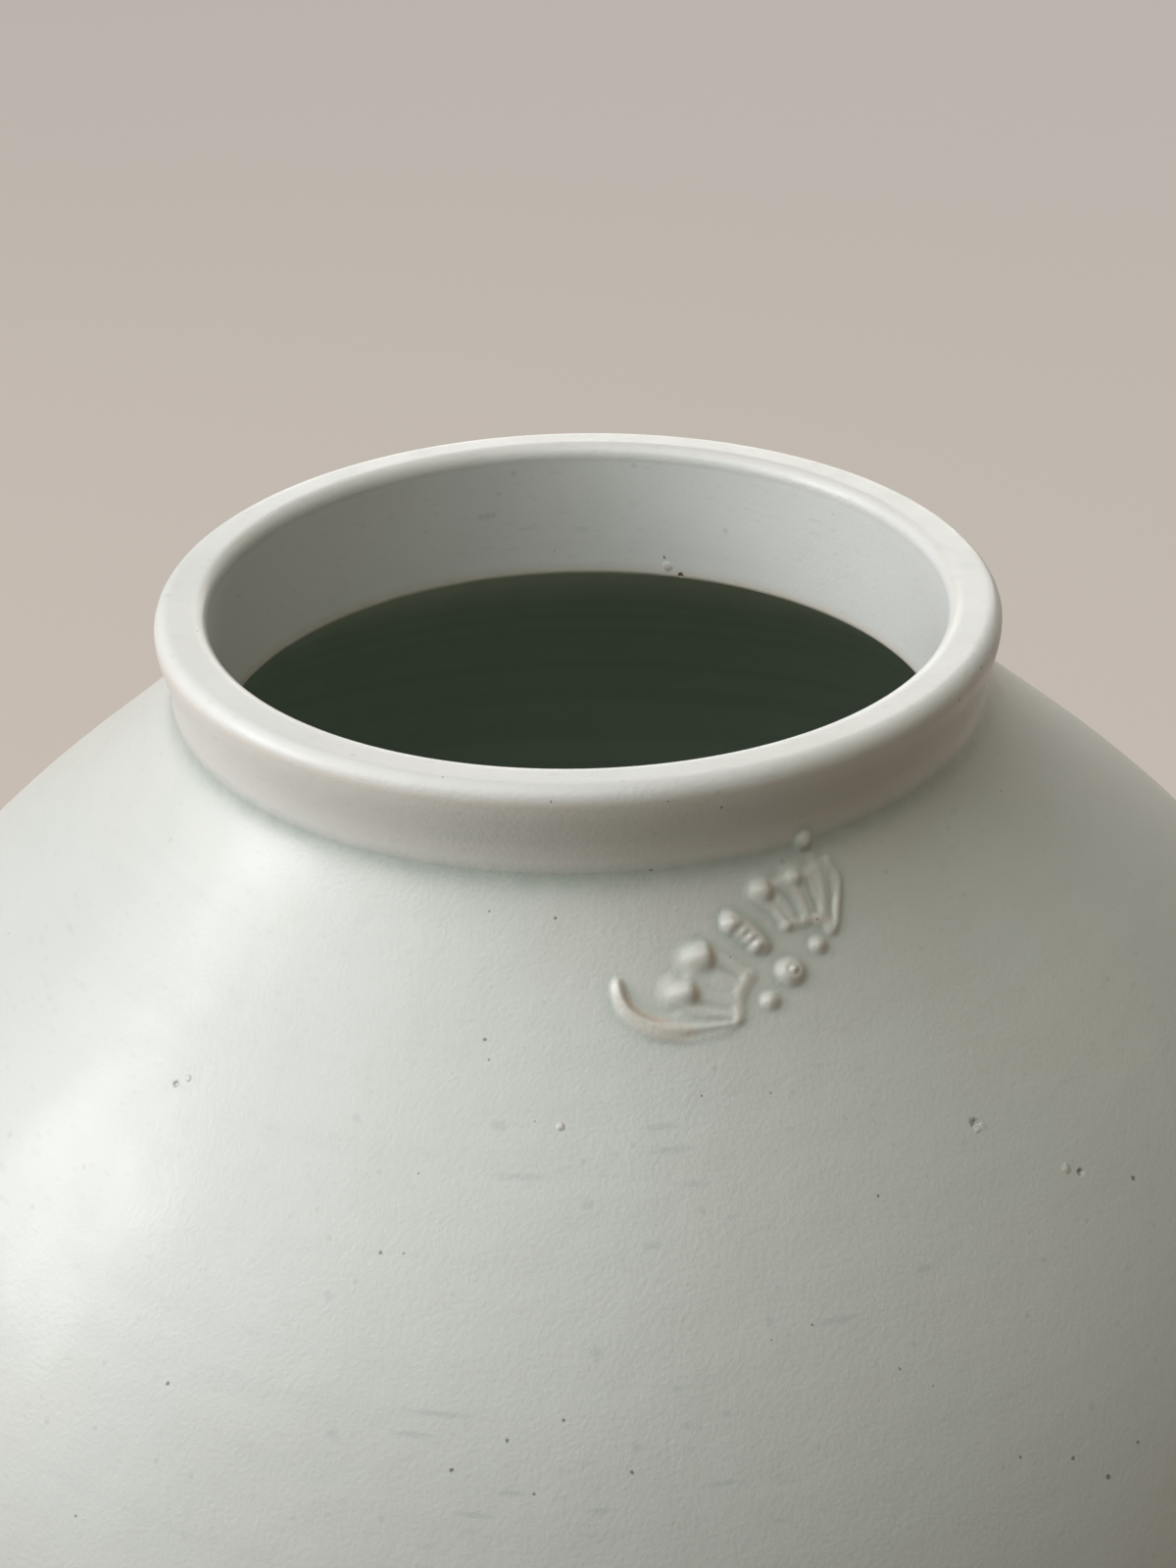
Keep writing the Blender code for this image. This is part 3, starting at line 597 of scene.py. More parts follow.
def build_mesh(name, points, faces, normals, values):
    """A smooth mesh of quads, and of triangles where a last corner is -1.

    Corners with a given normal take it, and those with a normal of no length keep their own.
    """
    kept = faces >= 0
    sizes = kept.sum(axis=1)
    mesh = bpy.data.meshes.new(name)
    mesh.vertices.add(len(points))
    mesh.vertices.foreach_set("co", points.ravel())
    mesh.loops.add(int(sizes.sum()))
    mesh.loops.foreach_set("vertex_index", faces[kept])
    mesh.polygons.add(len(faces))
    mesh.polygons.foreach_set("loop_start", np.cumsum(sizes) - sizes)
    mesh.update(calc_edges=True)
    mesh.shade_smooth()
    mesh.set_sharp_from_angle(angle=SHARP_ANGLE)
    mesh.normals_split_custom_set(normals[kept].tolist())
    for key, numbers in values.items():
        values_of_points = mesh.attributes.new(key, 'FLOAT', 'POINT').data
        values_of_points.foreach_set("value", np.asarray(numbers, np.float32))
    piece = bpy.data.objects.new(name, mesh)
    bpy.context.scene.collection.objects.link(piece)
    return piece


def turned_piece(name, first, last, hidden):
    """A thrown piece: rows of the skin's grid from one arc to another, then its hidden outline.

    The hidden outline runs on from the last row back to the first. A point on the axis becomes a pole.
    """
    rows = np.flatnonzero((ROWS >= first - TINY) & (ROWS <= last + TINY))
    hidden = np.asarray(hidden, float)
    rings = np.concatenate([skin.flat[rows], turned(hidden)])
    shown, count, width = len(rows), len(rings), len(COLUMNS)
    pole = np.concatenate([np.zeros(shown, bool), hidden[:, 0] < TINY])
    start = np.cumsum(np.where(pole, 1, width)) - np.where(pole, 1, width)
    ids = start[:, None] + np.where(pole[:, None], 0, np.arange(width))
    below, beside = np.roll(ids, -1, axis=0), np.roll(ids, -1, axis=1)
    quads = np.stack([ids, below, np.roll(beside, -1, axis=0), beside], axis=2)
    under_pole = np.roll(pole, -1)
    quads[pole, :, 3] = -1
    quads[under_pole, :, 2] = quads[under_pole, :, 3]
    quads[under_pole, :, 3] = -1
    normals = np.zeros((count, width, 4, 3))
    given = skin.normals[rows]
    around = np.roll(given, -1, axis=1)
    normals[:shown - 1] = np.stack([given[:-1], given[1:], around[1:], around[:-1]], axis=2)
    used = ~(pole & under_pole)
    ring = np.repeat(np.arange(count), np.where(pole, 1, width))
    place = np.concatenate([[0] if lone else np.arange(width) for lone in pole])
    values = {}
    for key, shade in hidden_shades(hidden).items():
        under = np.repeat(shade[:, None], width, axis=1)
        values[key] = np.concatenate([skin.shades[key][rows], under])[ring, place]
    return build_mesh(name, rings[ring, place], quads[used].reshape(-1, 4),
                      normals[used].reshape(-1, 4, 3), values)


def hidden_shades(points):
    """How the glaze and its painted light and shade inside lie on a hidden outline, by the same names as
    on the skin.
    """
    none = np.zeros(len(points))
    return {"pool_and_shade": none, "edge": edge_inside(points), "flank_thin_glaze_and_shade": none, "inside": painted_inside_light_and_shade(points)}


def edge_inside(points):
    """Thin glaze on the collar's inner lower edge."""
    near = np.hypot(points[:, 0] - BORE_RADIUS, points[:, 1] - NECK_BOTTOM - BORE_END_ROUND / 2)
    return np.clip(1.2 - near / 0.0025, 0, 1)


def painted_inside_light_and_shade(points):
    """Painted light and shade inside: the collar's bore painted lighter, a painted lit band at the roof,
    and painted shade that darkens down from the neck.
    """
    below = NECK_BOTTOM - points[:, 1]
    bore = np.where(below > -MM, ROOF_SHARE, BORE_SHARE)
    roof = np.clip(ROOF_SHARE + (1 - ROOF_SHARE) * below / ROOF_FADE, ROOF_SHARE, 1)
    return np.where(points[:, 0] < MOUTH_RADIUS + MM, np.where(below > 0.02, 1, bore), roof)


def filled(cells):
    """The same cells, with one more wherever two touch by a corner alone."""
    cells = cells.copy()
    for flip in (False, True):
        view = cells[:, ::-1] if flip else cells
        touch = view[:-1, :-1] & view[1:, 1:] & ~view[1:, :-1] & ~view[:-1, 1:]
        view[1:, :-1] |= touch
    return cells


def relief_piece(name):
    """One piece of the bat: the grid's cells where it stands highest, and a back just under the skin."""
    rows = np.flatnonzero((ROWS >= BAT_ROWS[0]) & (ROWS <= BAT_ROWS[1]))
    window = (slice(rows[0], rows[-1] + 1), slice(0, int(np.argmax(COLUMNS > BAT_SECTOR[1]))))
    own = skin.parts[name][window]
    others = highest(*[part[window] for key, part in skin.parts.items() if key != name])
    taken = (own > UNDER_SKIN) & (own >= others)
    cells = filled(taken[:-1, :-1] | taken[1:, :-1] | taken[:-1, 1:] | taken[1:, 1:])
    used = np.zeros(taken.shape, bool)
    for k, j in ((0, 0), (1, 0), (0, 1), (1, 1)):
        used[k:k + cells.shape[0], j:j + cells.shape[1]] |= cells
    ids = np.cumsum(used).reshape(used.shape) - 1
    k, j = np.nonzero(cells)
    corners = np.stack([ids[k, j], ids[k + 1, j], ids[k + 1, j + 1], ids[k, j + 1]], axis=1)
    count = int(used.sum())
    faces = [corners, corners[:, ::-1] + count]
    edged = np.pad(cells, 1)
    for down, right, a, b in ((0, -1, 0, 1), (1, 0, 1, 2), (0, 1, 2, 3), (-1, 0, 3, 0)):
        side = corners[~edged[k + 1 + down, j + 1 + right]]
        faces.append(np.stack([side[:, b], side[:, a], side[:, a] + count, side[:, b] + count], axis=1))
    base, out = skin.flat[window][used], skin.normals[window][used]
    front = base + skin.out[window][used] * (own[used] - UNDER_SKIN)[:, None]
    back = base - skin.out[window][used] * BACK_DEPTH
    faces = np.concatenate(faces)
    normals = np.zeros((len(faces), 4, 3))
    normals[:len(corners)] = out[corners]
    values = {key: np.tile(table[window][used], 2) for key, table in skin.shades.items()}
    return build_mesh(name + "_relief", np.concatenate([front, back]), faces, normals, values)


# Materials

class Nodes:
    """Adds and links nodes of a material or a world, so that a finish reads as a list of steps."""

    def __init__(self, owner):
        self.owner = owner
        self.owner.use_nodes = True
        self.tree = owner.node_tree

    @cached_property
    def shader(self):
        return self.tree.nodes["Principled BSDF"]

    @cached_property
    def place(self):
        return self.add('ShaderNodeTexCoord').outputs["Object"]

    def feed(self, node, inputs):
        """Links or sets a node's inputs. A color is given by its red, green and blue."""
        for key, value in inputs.items():
            socket = node.inputs[key]
            if isinstance(value, bpy.types.NodeSocket):
                self.tree.links.new(value, socket)
            elif socket.type == 'RGBA':
                socket.default_value = (*value, 1)
            else:
                socket.default_value = value

    def add(self, kind, inputs=None, **settings):
        node = self.tree.nodes.new(kind)
        for key, value in settings.items():
            setattr(node, key, value)
        self.feed(node, inputs or {})
        return node

    def math(self, operation, a, b):
        return self.add('ShaderNodeMath', {0: a, 1: b}, operation=operation).outputs[0]

    def stretch(self, scale, vector=None):
        return self.add('ShaderNodeMapping', {"Vector": vector or self.place, "Scale": scale}).outputs[0]

    def vectors(self, operation, a, b=(0, 0, 0)):
        node = self.add('ShaderNodeVectorMath', {0: a, 1: b}, operation=operation)
        return node.outputs[1 if operation == 'LENGTH' else 0]

    def noise(self, scale, detail=2.0, rough=0.5, vector=None):
        inputs = {"Vector": vector or self.place, "Scale": scale, "Detail": detail, "Roughness": rough}
        return self.add('ShaderNodeTexNoise', inputs).outputs[0]

    def ramp(self, value, low, high, to_low=0.0, to_high=1.0):
        inputs = dict(enumerate((value, low, high, to_low, to_high)))
        return self.add('ShaderNodeMapRange', inputs, interpolation_type='SMOOTHSTEP').outputs[0]

    def attribute(self, name):
        return self.add('ShaderNodeAttribute', attribute_name=name).outputs["Fac"]

    def spots(self, scale, radius, seed, vector=None):
        """Round spots scattered in space: 1 in a spot's middle, 0 from its radius on."""
        shifted = self.vectors('ADD', vector or self.place, (seed, seed * 2, seed * 3))
        node = self.add('ShaderNodeTexVoronoi', {"Vector": shifted, "Scale": scale})
        return self.ramp(node.outputs["Distance"], radius * scale * 0.4, radius * scale, 1.0, 0.0)

    def blend(self, share, under, over):
        return self.add('ShaderNodeMix', {0: share, 6: under, 7: over}, data_type='RGBA').outputs[2]

    def bump(self, height, distance, strength=1.0, under=None):
        inputs = {"Height": height, "Distance": distance, "Strength": strength}
        if under is not None:
            inputs["Normal"] = under
        return self.add('ShaderNodeBump', inputs).outputs[0]

    def lay(self, share, strength, color, over):
        """A color laid over another, by a share that is weakened first."""
        return self.blend(self.math('MULTIPLY', share, strength), color, over)

    def finished(self, color, roughness, normal):
        self.feed(self.shader, {"Base Color": color, "Roughness": roughness, "Normal": normal})
        return self.owner


# Colors of the glaze, where it is milky, clouded, deep with painted shade, thin or stained, and of the
# marks in it
MILK = (0.765, 0.798, 0.75)
# A lighter copy of the milk glaze for the collar, painting in more light on the neck
LIT_COLLAR_MILK = (0.90, 0.905, 0.87)
CLOUD = (0.69, 0.735, 0.69)
CREAM = (0.79, 0.765, 0.69)
# Pooled glaze, dark enough to paint in the shade of the hollows as well
POOLED_GLAZE_AND_SHADE = (0.44, 0.53, 0.46)
THIN_GLAZE = (0.85, 0.79, 0.69)
BLUISH = (0.40, 0.47, 0.46)
BROWNISH = (0.42, 0.37, 0.29)
IRON = (0.055, 0.042, 0.03)
PALE = (0.85, 0.81, 0.72)

# How strongly each kind of named mark shows, and in which color
MARK_TINTS = (("pale", 0.7, PALE), ("soft", 0.24, BLUISH), ("dash", 0.26, BLUISH), ("iron", 0.7, IRON))
MARK_CORES = {"iron": 0.5, "dent": 0.1, "pale": 0.2, "soft": 0.2, "dash": 0.2}
MARK_WOBBLE = 0.0008
DASH_HALF_WIDTH = 0.0007

# Painted light in the bore and in a band under the roof
LIT_BORE_GLAZE = (0.92, 0.94, 0.905)
LIT_ROOF_GLAZE = (0.95, 0.91, 0.78)
# Thin glaze with painted warm shade, for the flanks turned from the light
FLANK_GLAZE_AND_SHADE = (0.66, 0.53, 0.40)
# Painted shade inside the jar, over its throwing rings
SHADED_INSIDE_GLAZE = (0.59, 0.66, 0.56)
SHADED_INSIDE_RINGS = (0.55, 0.62, 0.53)
ROUGHNESS = 0.34
FINISHES = {"neck_collar": (LIT_COLLAR_MILK, ROUGHNESS), "waist_slip": (CREAM, 0.45)}
CLAY = (0.66, 0.60, 0.50)
CLAY_DARK = (0.56, 0.50, 0.41)
CLAY_STAIN = (0.36, 0.24, 0.14)
CLAY_GRIT = (0.20, 0.14, 0.09)


def mark_shares(n, marks):
    """How strongly each kind of mark shows, from rows of (kind, place, radius)."""
    noise = n.noise(900).node.outputs["Color"]
    moved = n.vectors('ADD', n.place, n.vectors('MULTIPLY', noise, (MARK_WOBBLE,) * 3))
    shares = {}
    for kind, place, radius in marks:
        away = n.vectors('SUBTRACT', moved, [part + MARK_WOBBLE / 2 for part in place])
        if kind == "dash":
            away = n.stretch((1, 1, radius / DASH_HALF_WIDTH), away)
        far = n.vectors('LENGTH', away)
        spot = n.ramp(far, radius * MARK_CORES[kind], radius * 1.1, 1.0, 0.0)
        shares[kind] = n.math('MAXIMUM', shares[kind], spot) if kind in shares else spot
    return shares


def glaze(name, marks, milk=MILK, roughness=ROUGHNESS):
    """Thick milky glaze: cloudy, faintly streaked, freckled, thin on edges, deep in hollows.

    Painted shade darkens the hollows, the flanks turned from the light and the jar's inside, and painted
    light brightens the bore and a band under the roof.
    """
    n = Nodes(bpy.data.materials.new(name))
    inside = n.attribute("inside")
    outside = n.math('SUBTRACT', 1.0, inside)
    clouds = n.ramp(n.noise(11, 3, 0.5), 0.35, 0.75, 0.0, 0.35)
    streaks = n.ramp(n.noise(1, 3, 0.6, n.stretch((7, 7, 230))), 0.45, 0.75, 0.0, 0.22)
    warm = n.ramp(n.noise(17, 2, 0.5), 0.45, 0.80, 0.0, 0.38)
    color = n.blend(clouds, milk, CLOUD)
    color = n.blend(warm, color, CREAM)
    color = n.blend(streaks, color, CLOUD)
    # Painted light: the collar's bore is made lighter
    color = n.blend(n.ramp(inside, 0.05, BORE_SHARE, 0.0, 0.8), color, LIT_BORE_GLAZE)
    uneven = n.ramp(n.noise(260, 2, 0.5), 0.3, 0.7, 0.7, 1.0)
    # Pooled glaze with painted shade, thin creamy glaze, and thin glaze with painted warm shade on flanks
    # turned from the light
    for key, tint in (("pool_and_shade", POOLED_GLAZE_AND_SHADE), ("edge", THIN_GLAZE), ("flank_thin_glaze_and_shade", FLANK_GLAZE_AND_SHADE)):
        color = n.blend(n.math('MULTIPLY', n.attribute(key), uneven), color, tint)
    patchy = n.ramp(n.noise(30, 2, 0.5), 0.50, 0.66)
    dashes = n.math('MULTIPLY', n.spots(1, 0.24, 0.37, n.stretch((70, 70, 330))), patchy)
    color = n.lay(dashes, 0.12, color, BLUISH)
    color = n.lay(n.spots(1, 0.24, 2.7, n.stretch((150, 150, 420))), 0.07, color, BROWNISH)
    color = n.lay(n.spots(88, 0.0009, 0.81), 0.20, color, BROWNISH)
    color = n.lay(n.spots(66, 0.00034, 1.91), 0.5, color, IRON)
    shares = mark_shares(n, marks)
    for kind, strength, tint in MARK_TINTS:
        if kind in shares:
            color = n.lay(shares[kind], strength, color, tint)
    rings = n.ramp(n.noise(1, 2, 0.5, n.stretch((3, 3, 190))), 0.35, 0.65)
    # Inside: a painted lit band under the roof that turns into painted shade, with rings, deeper in
    deep = n.blend(n.ramp(inside, ROOF_SHARE, 1.0), LIT_ROOF_GLAZE, n.blend(rings, SHADED_INSIDE_GLAZE, SHADED_INSIDE_RINGS))
    color = n.blend(n.ramp(inside, BORE_SHARE, ROOF_SHARE), color, deep)
    gloss = n.ramp(n.noise(90, 3, 0.6), 0.3, 0.7, roughness - 0.03, roughness + 0.07)
    n.feed(n.shader, {"Coat Weight": 0.2, "Coat Roughness": 0.16, "IOR": 1.5})
    surface = n.bump(n.math('MULTIPLY', n.noise(900, 2, 0.55), outside), 0.00009)
    surface = n.bump(n.math('MULTIPLY', n.noise(75, 2, 0.5), outside), 0.0004, 0.5, surface)
    if "dent" in shares:
        surface = n.bump(n.math('SUBTRACT', 1.0, shares["dent"]), 0.0006, 1.0, surface)
    if "pale" in shares:
        surface = n.bump(shares["pale"], 0.0003, 1.0, surface)
    return n.finished(color, gloss, surface)


def bare_clay(name):
    """Fired clay without glaze: sandy, matt, stained by the kiln where it stood."""
    n = Nodes(bpy.data.materials.new(name))
    sand = n.noise(1400, 3, 0.7)
    grit = n.spots(420, 0.0004, 2.2)
    color = n.blend(n.ramp(sand, 0.35, 0.65), CLAY, CLAY_DARK)
    color = n.lay(n.ramp(n.noise(34, 4, 0.6), 0.45, 0.7), 0.6, color, CLAY_STAIN)
    color = n.lay(grit, 0.7, color, CLAY_GRIT)
    coarse = n.bump(n.noise(900, 4, 0.7), 0.00025, 0.8)
    return n.finished(color, n.ramp(sand, 0.3, 0.7, 0.72, 0.92), n.bump(grit, 0.0003, 0.6, coarse))


# The pieces, each with its hidden outline

def inner_shoulder():
    """The upper bowl's inside, from the waist up to its socket round the collar."""
    line = offset(shoulder_line, WALL)[:-1]
    socket = (SPIGOT_RADIUS, NECK_BOTTOM)
    flare = curve_between(socket, SADDLE_SLOPE, line[0], SADDLE_SLOPE, FLARE_PULLS[::-1], 12)
    whole = joined(flare, line[::6], [(BELLY_RADIUS - WALL, WAIST_HIGH + 0.003)])
    return whole[::-1]


def inner_lower():
    """The lower bowl's inside, from the middle of its floor up to the waist."""
    line = offset(lower_line, WALL)
    line = line[line[:, 1] > FLOOR_HEIGHT + WALL][1:]
    last = line[-1]
    corner = (last[0] - (last[1] - FLOOR_HEIGHT) / math.tan(FOOT_SLOPE), FLOOR_HEIGHT)
    floor_edge = (last[0] * INNER_FLOOR_SHARE, FLOOR_HEIGHT)
    rounding = bezier((last, corner, corner, floor_edge), 12)
    floor = np.linspace(floor_edge, (0, FLOOR_HEIGHT), 9)
    whole = joined([(BELLY_RADIUS - WALL, WAIST_LOW + 0.003)], line[::5], rounding, floor)
    return whole[::-1]


def collar_hidden():
    """From the collar's seat, down its spigot, under it and up the bore to the mouth."""
    bore_end = arc((BORE_RADIUS + BORE_END_ROUND, NECK_BOTTOM + BORE_END_ROUND), BORE_END_ROUND,
                   -DOWN, -math.pi, 8)
    bore_top = (MOUTH_RADIUS, TOP - LIP_INNER_ROUND)
    bore = np.linspace(bore_end[-1], bore_top, 24)[1:-1]
    return joined([(SPIGOT_RADIUS, NECK_FOOT), (SPIGOT_RADIUS, NECK_BOTTOM)], bore_end, bore)


# Marks in the glaze, by pixel of the photograph (1200 by 1600), each with its radius in millimetres

IRON_SPOTS = [
    (388, 1278, 0.55), (427, 1198, 0.25), (412, 1279, 0.25), (171, 1412, 0.5), (495, 1061, 0.45),
    (499, 1081, 0.35), (517, 1470, 0.45), (461, 1500, 0.55), (545, 1525, 0.4), (575, 1449, 0.35),
    (1156, 1202, 0.65), (1131, 1507, 0.7), (1161, 1472, 0.55), (1041, 1487, 0.4), (645, 1502, 0.55),
    (896, 1220, 0.4), (918, 1397, 0.4), (786, 1115, 0.3), (716, 1118, 0.3), (829, 1352, 0.35),
    (562, 818, 0.3), (682, 818, 0.3), (736, 824, 0.35), (665, 888, 0.35), (567, 937, 0.45),
    (499, 930, 0.3), (1001, 681, 0.5), (979, 714, 0.5), (834, 938, 0.25), (745, 977, 0.22),
    (695, 587, 0.9), (678, 569, 0.5), (1095, 1488, 0.5), (77, 1547, 0.4)]
SOFT_SPOTS = [
    (363, 1140, 1.2), (505, 1148, 1.5), (511, 1149, 1.5), (10, 1158, 1.3), (335, 1323, 1.4),
    (340, 1463, 1.7), (600, 1228, 1.7), (608, 1381, 2.0), (107, 1391, 0.8), (48, 1450, 1.0),
    (97, 1458, 0.8), (742, 1443, 1.0), (933, 1372, 0.9), (812, 1190, 0.7), (863, 1142, 0.6),
    (794, 1313, 0.6), (785, 1346, 1.2), (785, 1351, 1.0), (746, 1243, 1.0), (912, 1168, 0.6),
    (810, 1115, 0.8), (1114, 1436, 1.3), (1179, 1388, 0.9), (691, 1417, 1.5), (700, 1454, 1.2),
    (650, 1477, 1.5), (1033, 1125, 0.6), (1047, 1096, 0.8), (1141, 1352, 0.9), (497, 527, 1.5),
    (491, 528, 1.2), (503, 526, 1.2), (509, 504, 1.0), (524, 483, 1.2), (647, 475, 1.0), (740, 542, 1.3),
    (1103, 1195, 1.3), (991, 1143, 1.2), (1004, 1150, 1.2), (387, 1196, 0.8)]
DASHES = [
    (675, 1150, 5), (685, 1174, 7), (708, 1208, 4), (664, 1271, 3), (856, 1347, 6), (943, 1295, 3),
    (448, 1443, 9), (421, 1464, 6), (483, 1546, 5), (523, 1524, 4), (739, 1514, 5), (614, 1542, 4),
    (533, 1201, 8)]
PALE_SPOTS = [
    (681, 578, 1.6), (1088, 1192, 1.3), (997, 1151, 1.1), (572, 1150, 1.0), (192, 1100, 0.9),
    (951, 1414, 0.3)]
DENTS = [(180, 1106, 1.0), (996, 1147, 1.6), (1103, 1196, 1.1), (695, 587, 0.9)]
MARKS = {"iron": IRON_SPOTS, "soft": SOFT_SPOTS, "dash": DASHES, "pale": PALE_SPOTS, "dent": DENTS}


# The camera, and the places its pixels look at

CAMERA_PLACE = Vector((0, -0.59158, TOP + 0.27497))
CAMERA_LENS = 63.0
CAMERA_TILT = math.radians(-29.06)
CAMERA_TURN = math.radians(-0.16)
CAMERA_ROLL = math.radians(-1.01)
CAMERA_SENSOR = 36.0
PHOTO_SIZE = (1200, 1600)


def camera_turn():
    lift = Matrix.Rotation(CAMERA_TURN, 4, 'Z') @ Matrix.Rotation(math.pi / 2 + CAMERA_TILT, 4, 'X')
    return lift @ Matrix.Rotation(CAMERA_ROLL, 4, 'Z')


def make_camera():
    data = bpy.data.cameras.new("camera")
    data.lens = CAMERA_LENS
    data.sensor_width = CAMERA_SENSOR
    data.clip_start = 0.01
    data.clip_end = 200
    camera = bpy.data.objects.new("camera", data)
    camera.matrix_world = Matrix.Translation(CAMERA_PLACE) @ camera_turn()
    bpy.context.scene.collection.objects.link(camera)
    bpy.context.scene.camera = camera


def marks_on(pieces):
    """The marks that lie on each piece: lists of (kind, place, radius), by the piece's name."""
    graph = bpy.context.evaluated_depsgraph_get()
    trees = {piece.name: BVHTree.FromObject(piece, graph) for piece in pieces}
    found = {name: [] for name in trees}
    step = CAMERA_SENSOR / max(PHOTO_SIZE)
    for kind, marks in MARKS.items():
        for right, down, radius in marks:
            aside, up = (right - PHOTO_SIZE[0] / 2) * step, (PHOTO_SIZE[1] / 2 - down) * step
            look = (camera_turn().to_3x3() @ Vector((aside, up, -CAMERA_LENS))).normalized()
            hits = {name: tree.ray_cast(CAMERA_PLACE, look) for name, tree in trees.items()}
            hits = {name: hit for name, hit in hits.items() if hit[0] is not None}
            if hits:
                name = min(hits, key=lambda key: hits[key][3])
                found[name].append((kind, tuple(hits[name][0]), radius * MM))
    return found


def finish_piece(piece, node, material):
    piece.data.materials.append(material)
    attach(piece, "root")
    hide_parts(node)


def make_jar():
    base = FOOT_RADIUS - FOOT_WIDTH
    recess = [(base, FOOT_TOP), (base, RECESS_HEIGHT + 0.001), (base - 0.002, RECESS_HEIGHT),
              (base / 2, RECESS_HEIGHT), (0, RECESS_HEIGHT)]
    waist_inner = [(BELLY_RADIUS - WALL, WAIST_LOW + 0.003), (BELLY_RADIUS - WALL, WAIST_HIGH + 0.003)]
    foot_top = [((base + FOOT_RADIUS) / 2, FOOT_TOP)]
    thrown = {"neck_collar": turned_piece("glazed_collar", ARC_LIP, 0, collar_hidden()),
              "upper_bowl": turned_piece("glazed_upper_bowl", 0, ARC_WAIST_HIGH,
                                         joined(inner_shoulder(), [(SPIGOT_RADIUS, NECK_FOOT)])),
              "waist_slip": turned_piece("glazed_waist_seam", ARC_WAIST_HIGH, ARC_WAIST_LOW, waist_inner),
              "lower_bowl": turned_piece("glazed_lower_bowl", ARC_WAIST_LOW, ARC_FOOT,
                                         np.concatenate([recess, inner_lower()])),
              "foot_ring": turned_piece("bare_foot_ring", ARC_FOOT, ARC_END, foot_top)}
    relief = {node: relief_piece(node) for node in BAT_FIELDS}
    marks = marks_on([*thrown.values(), *relief.values()])
    for node, piece in thrown.items():
        slot = node + ("_clay" if node in ("waist_slip", "foot_ring") else "_glaze")
        if node == "foot_ring":
            material = bare_clay(slot)
        else:
            material = glaze(slot, marks[piece.name], *FINISHES.get(node, (MILK, ROUGHNESS)))
        finish_piece(piece, node, material)
    for node, piece in relief.items():
        finish_piece(piece, node, glaze(node + "_glaze", marks[piece.name], roughness=0.33))


# Studio

FLOOR_COLOR = (0.20, 0.15, 0.105)
FLOOR_GLOW = (0.43, 0.40, 0.375)
SKY_COLOR = (0.47, 0.43, 0.40)
FILL_COLOR = (1.0, 0.84, 0.66)
FILL_LEVEL = 0.025
FLOOR_RINGS = (0.6, 1.2, 2.5, 5, 10, 30)
FLOOR_SIDES = 96
FLOOR_SHADE = 0.97
FAR_DISTANCE = 5.0


def seen_rays(n):
    """1 for what the camera sees, also by way of gloss or glass, and 0 for what only gives light."""
    path = n.add('ShaderNodeLightPath').outputs
    seen = n.math('MAXIMUM', path["Is Camera Ray"], path["Is Glossy Ray"])
    return n.math('MAXIMUM', seen, path["Is Transmission Ray"])


def floor_paint():
    """Matt paint. To the camera, gloss and glass it looks paler than its light makes it."""
    n = Nodes(bpy.data.materials.new("floor_paint"))
    mottle = n.ramp(n.noise(0.8, 3, 0.5), 0.3, 0.7)
    color = n.blend(mottle, FLOOR_COLOR, [FLOOR_SHADE * part for part in FLOOR_COLOR])
    n.feed(n.shader, {"Base Color": color, "Roughness": 0.9, "Specular IOR Level": 0.2,
                      "Emission Color": FLOOR_GLOW, "Emission Strength": seen_rays(n)})
    return n.owner


def make_floor():
    """A round floor, of rings of faces round a middle point."""
    angles = np.linspace(0, 2 * math.pi, FLOOR_SIDES, endpoint=False)
    points = [(0, 0, 0)] + [(r * math.sin(a), r * math.cos(a), 0) for r in FLOOR_RINGS for a in angles]
    faces = []
    for j in range(FLOOR_SIDES):
        i = (j + 1) % FLOOR_SIDES
        faces.append((0, 1 + i, 1 + j))
        for inner in range(1, FLOOR_SIDES * (len(FLOOR_RINGS) - 1), FLOOR_SIDES):
            outer = inner + FLOOR_SIDES
            faces.append((inner + j, inner + i, outer + i, outer + j))
    mesh = bpy.data.meshes.new("studio_floor")
    mesh.from_pydata(points, [], faces)
    mesh.materials.append(floor_paint())
    floor = bpy.data.objects.new("studio_floor", mesh)
    bpy.context.scene.collection.objects.link(floor)


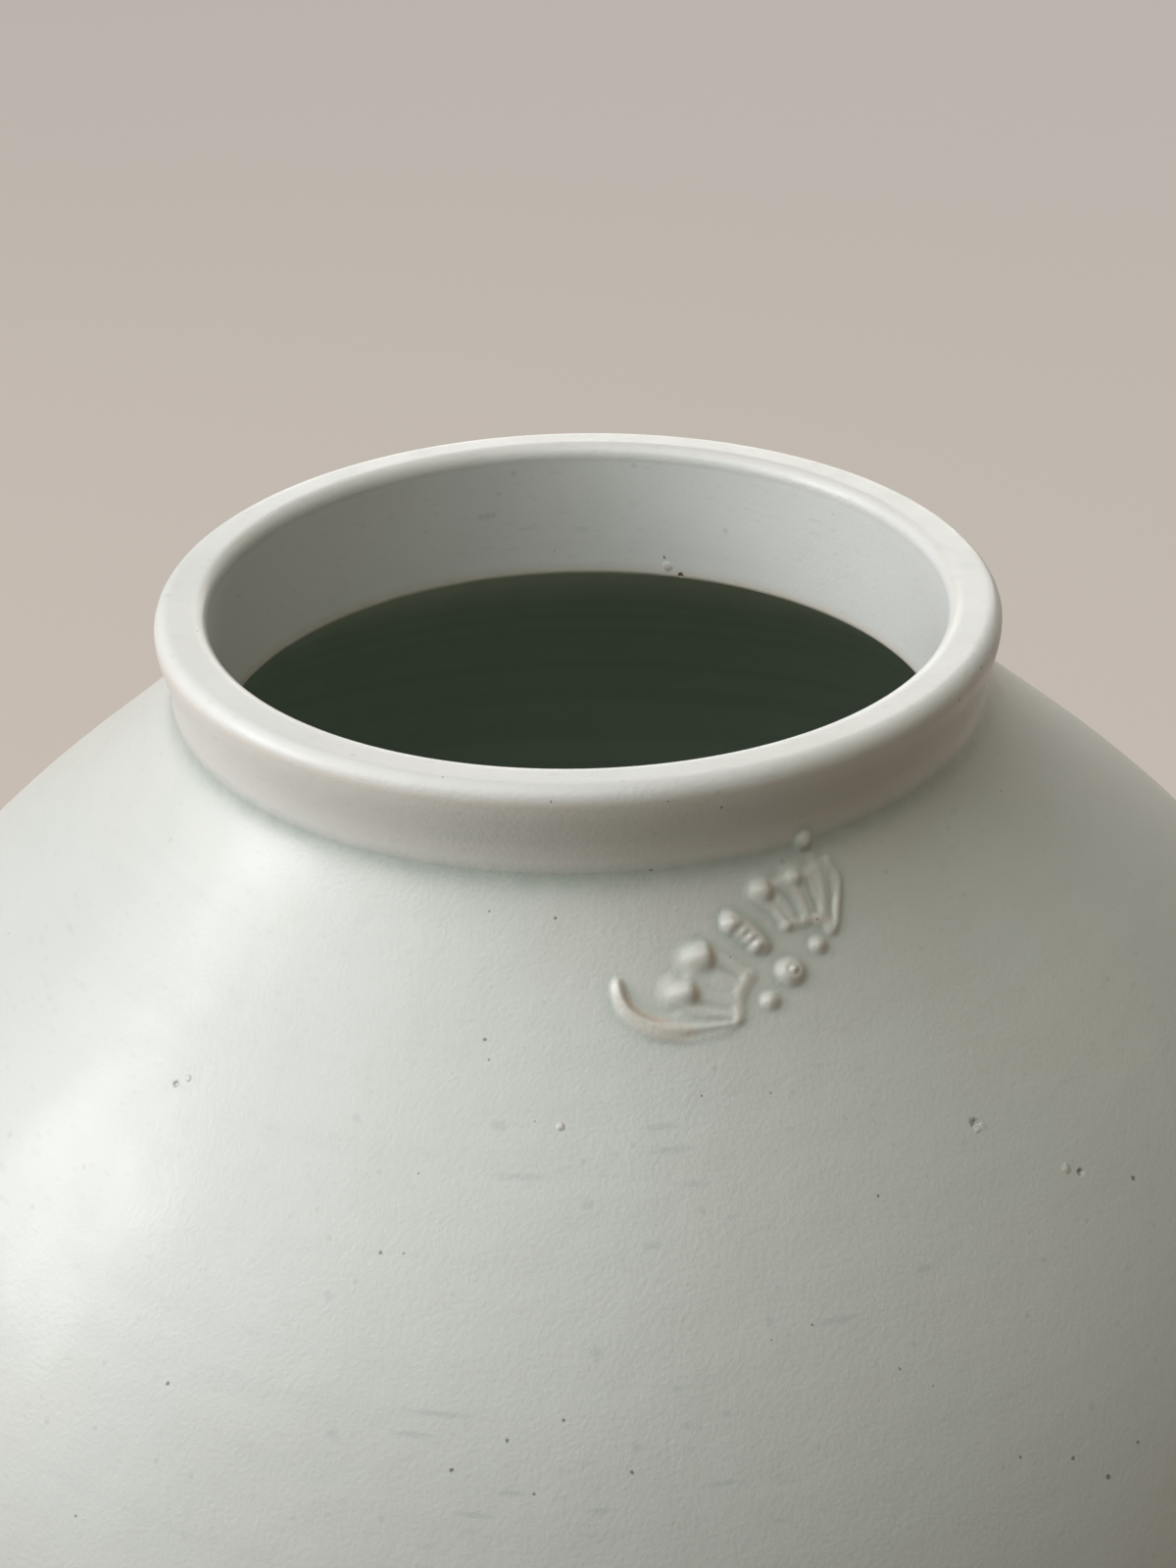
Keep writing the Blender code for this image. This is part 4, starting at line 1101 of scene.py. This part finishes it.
def make_world():
    """Soft light from all round. What the camera and the gloss see of it is the backdrop's colour."""
    n = Nodes(bpy.data.worlds.new("studio"))
    bpy.context.scene.world = n.owner
    fill = n.add('ShaderNodeBackground', {"Color": FILL_COLOR, "Strength": FILL_LEVEL})
    sky = n.tree.nodes["Background"]
    n.feed(sky, {"Color": SKY_COLOR})
    mix = n.add('ShaderNodeMixShader', {0: seen_rays(n), 1: fill.outputs[0], 2: sky.outputs[0]})
    n.feed(n.tree.nodes["World Output"], {"Surface": mix.outputs[0]})


def place_lamp(lamp, azimuth, elevation, distance, color):
    """Puts a lamp at a distance from the jar's shoulder, facing it."""
    a, e = math.radians(azimuth), math.radians(elevation)
    away = Vector((math.sin(a) * math.cos(e), -math.cos(a) * math.cos(e), math.sin(e)))
    lamp.color = color
    holder = bpy.data.objects.new(lamp.name, lamp)
    holder.location = Vector((0, 0, TOP - 0.06)) + away * distance
    holder.rotation_euler = (-away).to_track_quat('-Z', 'Y').to_euler()
    bpy.context.scene.collection.objects.link(holder)


def soft_lamp(name, azimuth, elevation, distance, size, level, color):
    """A square lamp near the jar. Level 1 lights a white surface facing it as white."""
    lamp = bpy.data.lights.new(name, 'AREA')
    lamp.shape = 'SQUARE'
    lamp.size = size
    lamp.energy = level * (math.pi * distance) ** 2
    place_lamp(lamp, azimuth, elevation, distance, color)


def far_lamp(name, azimuth, elevation, spread, level, color):
    """Even light from far off, softened over an angle. It leaves no bright patch on the floor."""
    lamp = bpy.data.lights.new(name, 'SUN')
    lamp.angle = math.radians(spread)
    lamp.energy = level * math.pi
    place_lamp(lamp, azimuth, elevation, FAR_DISTANCE, color)


make_camera()
make_jar()
make_floor()
make_world()
soft_lamp("window", -84, 27, 1.8, 2.0, 0.40, (0.98, 0.96, 1.0))
soft_lamp("window_pane", -86, 24, 1.8, 0.75, 0.25, (1.0, 0.98, 1.0))
soft_lamp("window_top", -80, 60, 1.8, 2.4, 0.49, (0.96, 0.97, 1.0))
soft_lamp("window_front", -28, 58, 1.9, 1.8, 0.23, (0.95, 1.0, 0.89))
soft_lamp("room_right", 80, 30, 2.2, 1.8, 0.03, (1.0, 0.50, 0.22))
soft_lamp("room_back", 125, 40, 2.2, 1.8, 0.07, (0.92, 1.0, 0.82))
far_lamp("room_behind", 172, 9, 40, 0.24, (1.0, 0.98, 0.94))
bpy.context.scene.view_settings.view_transform = 'Standard'
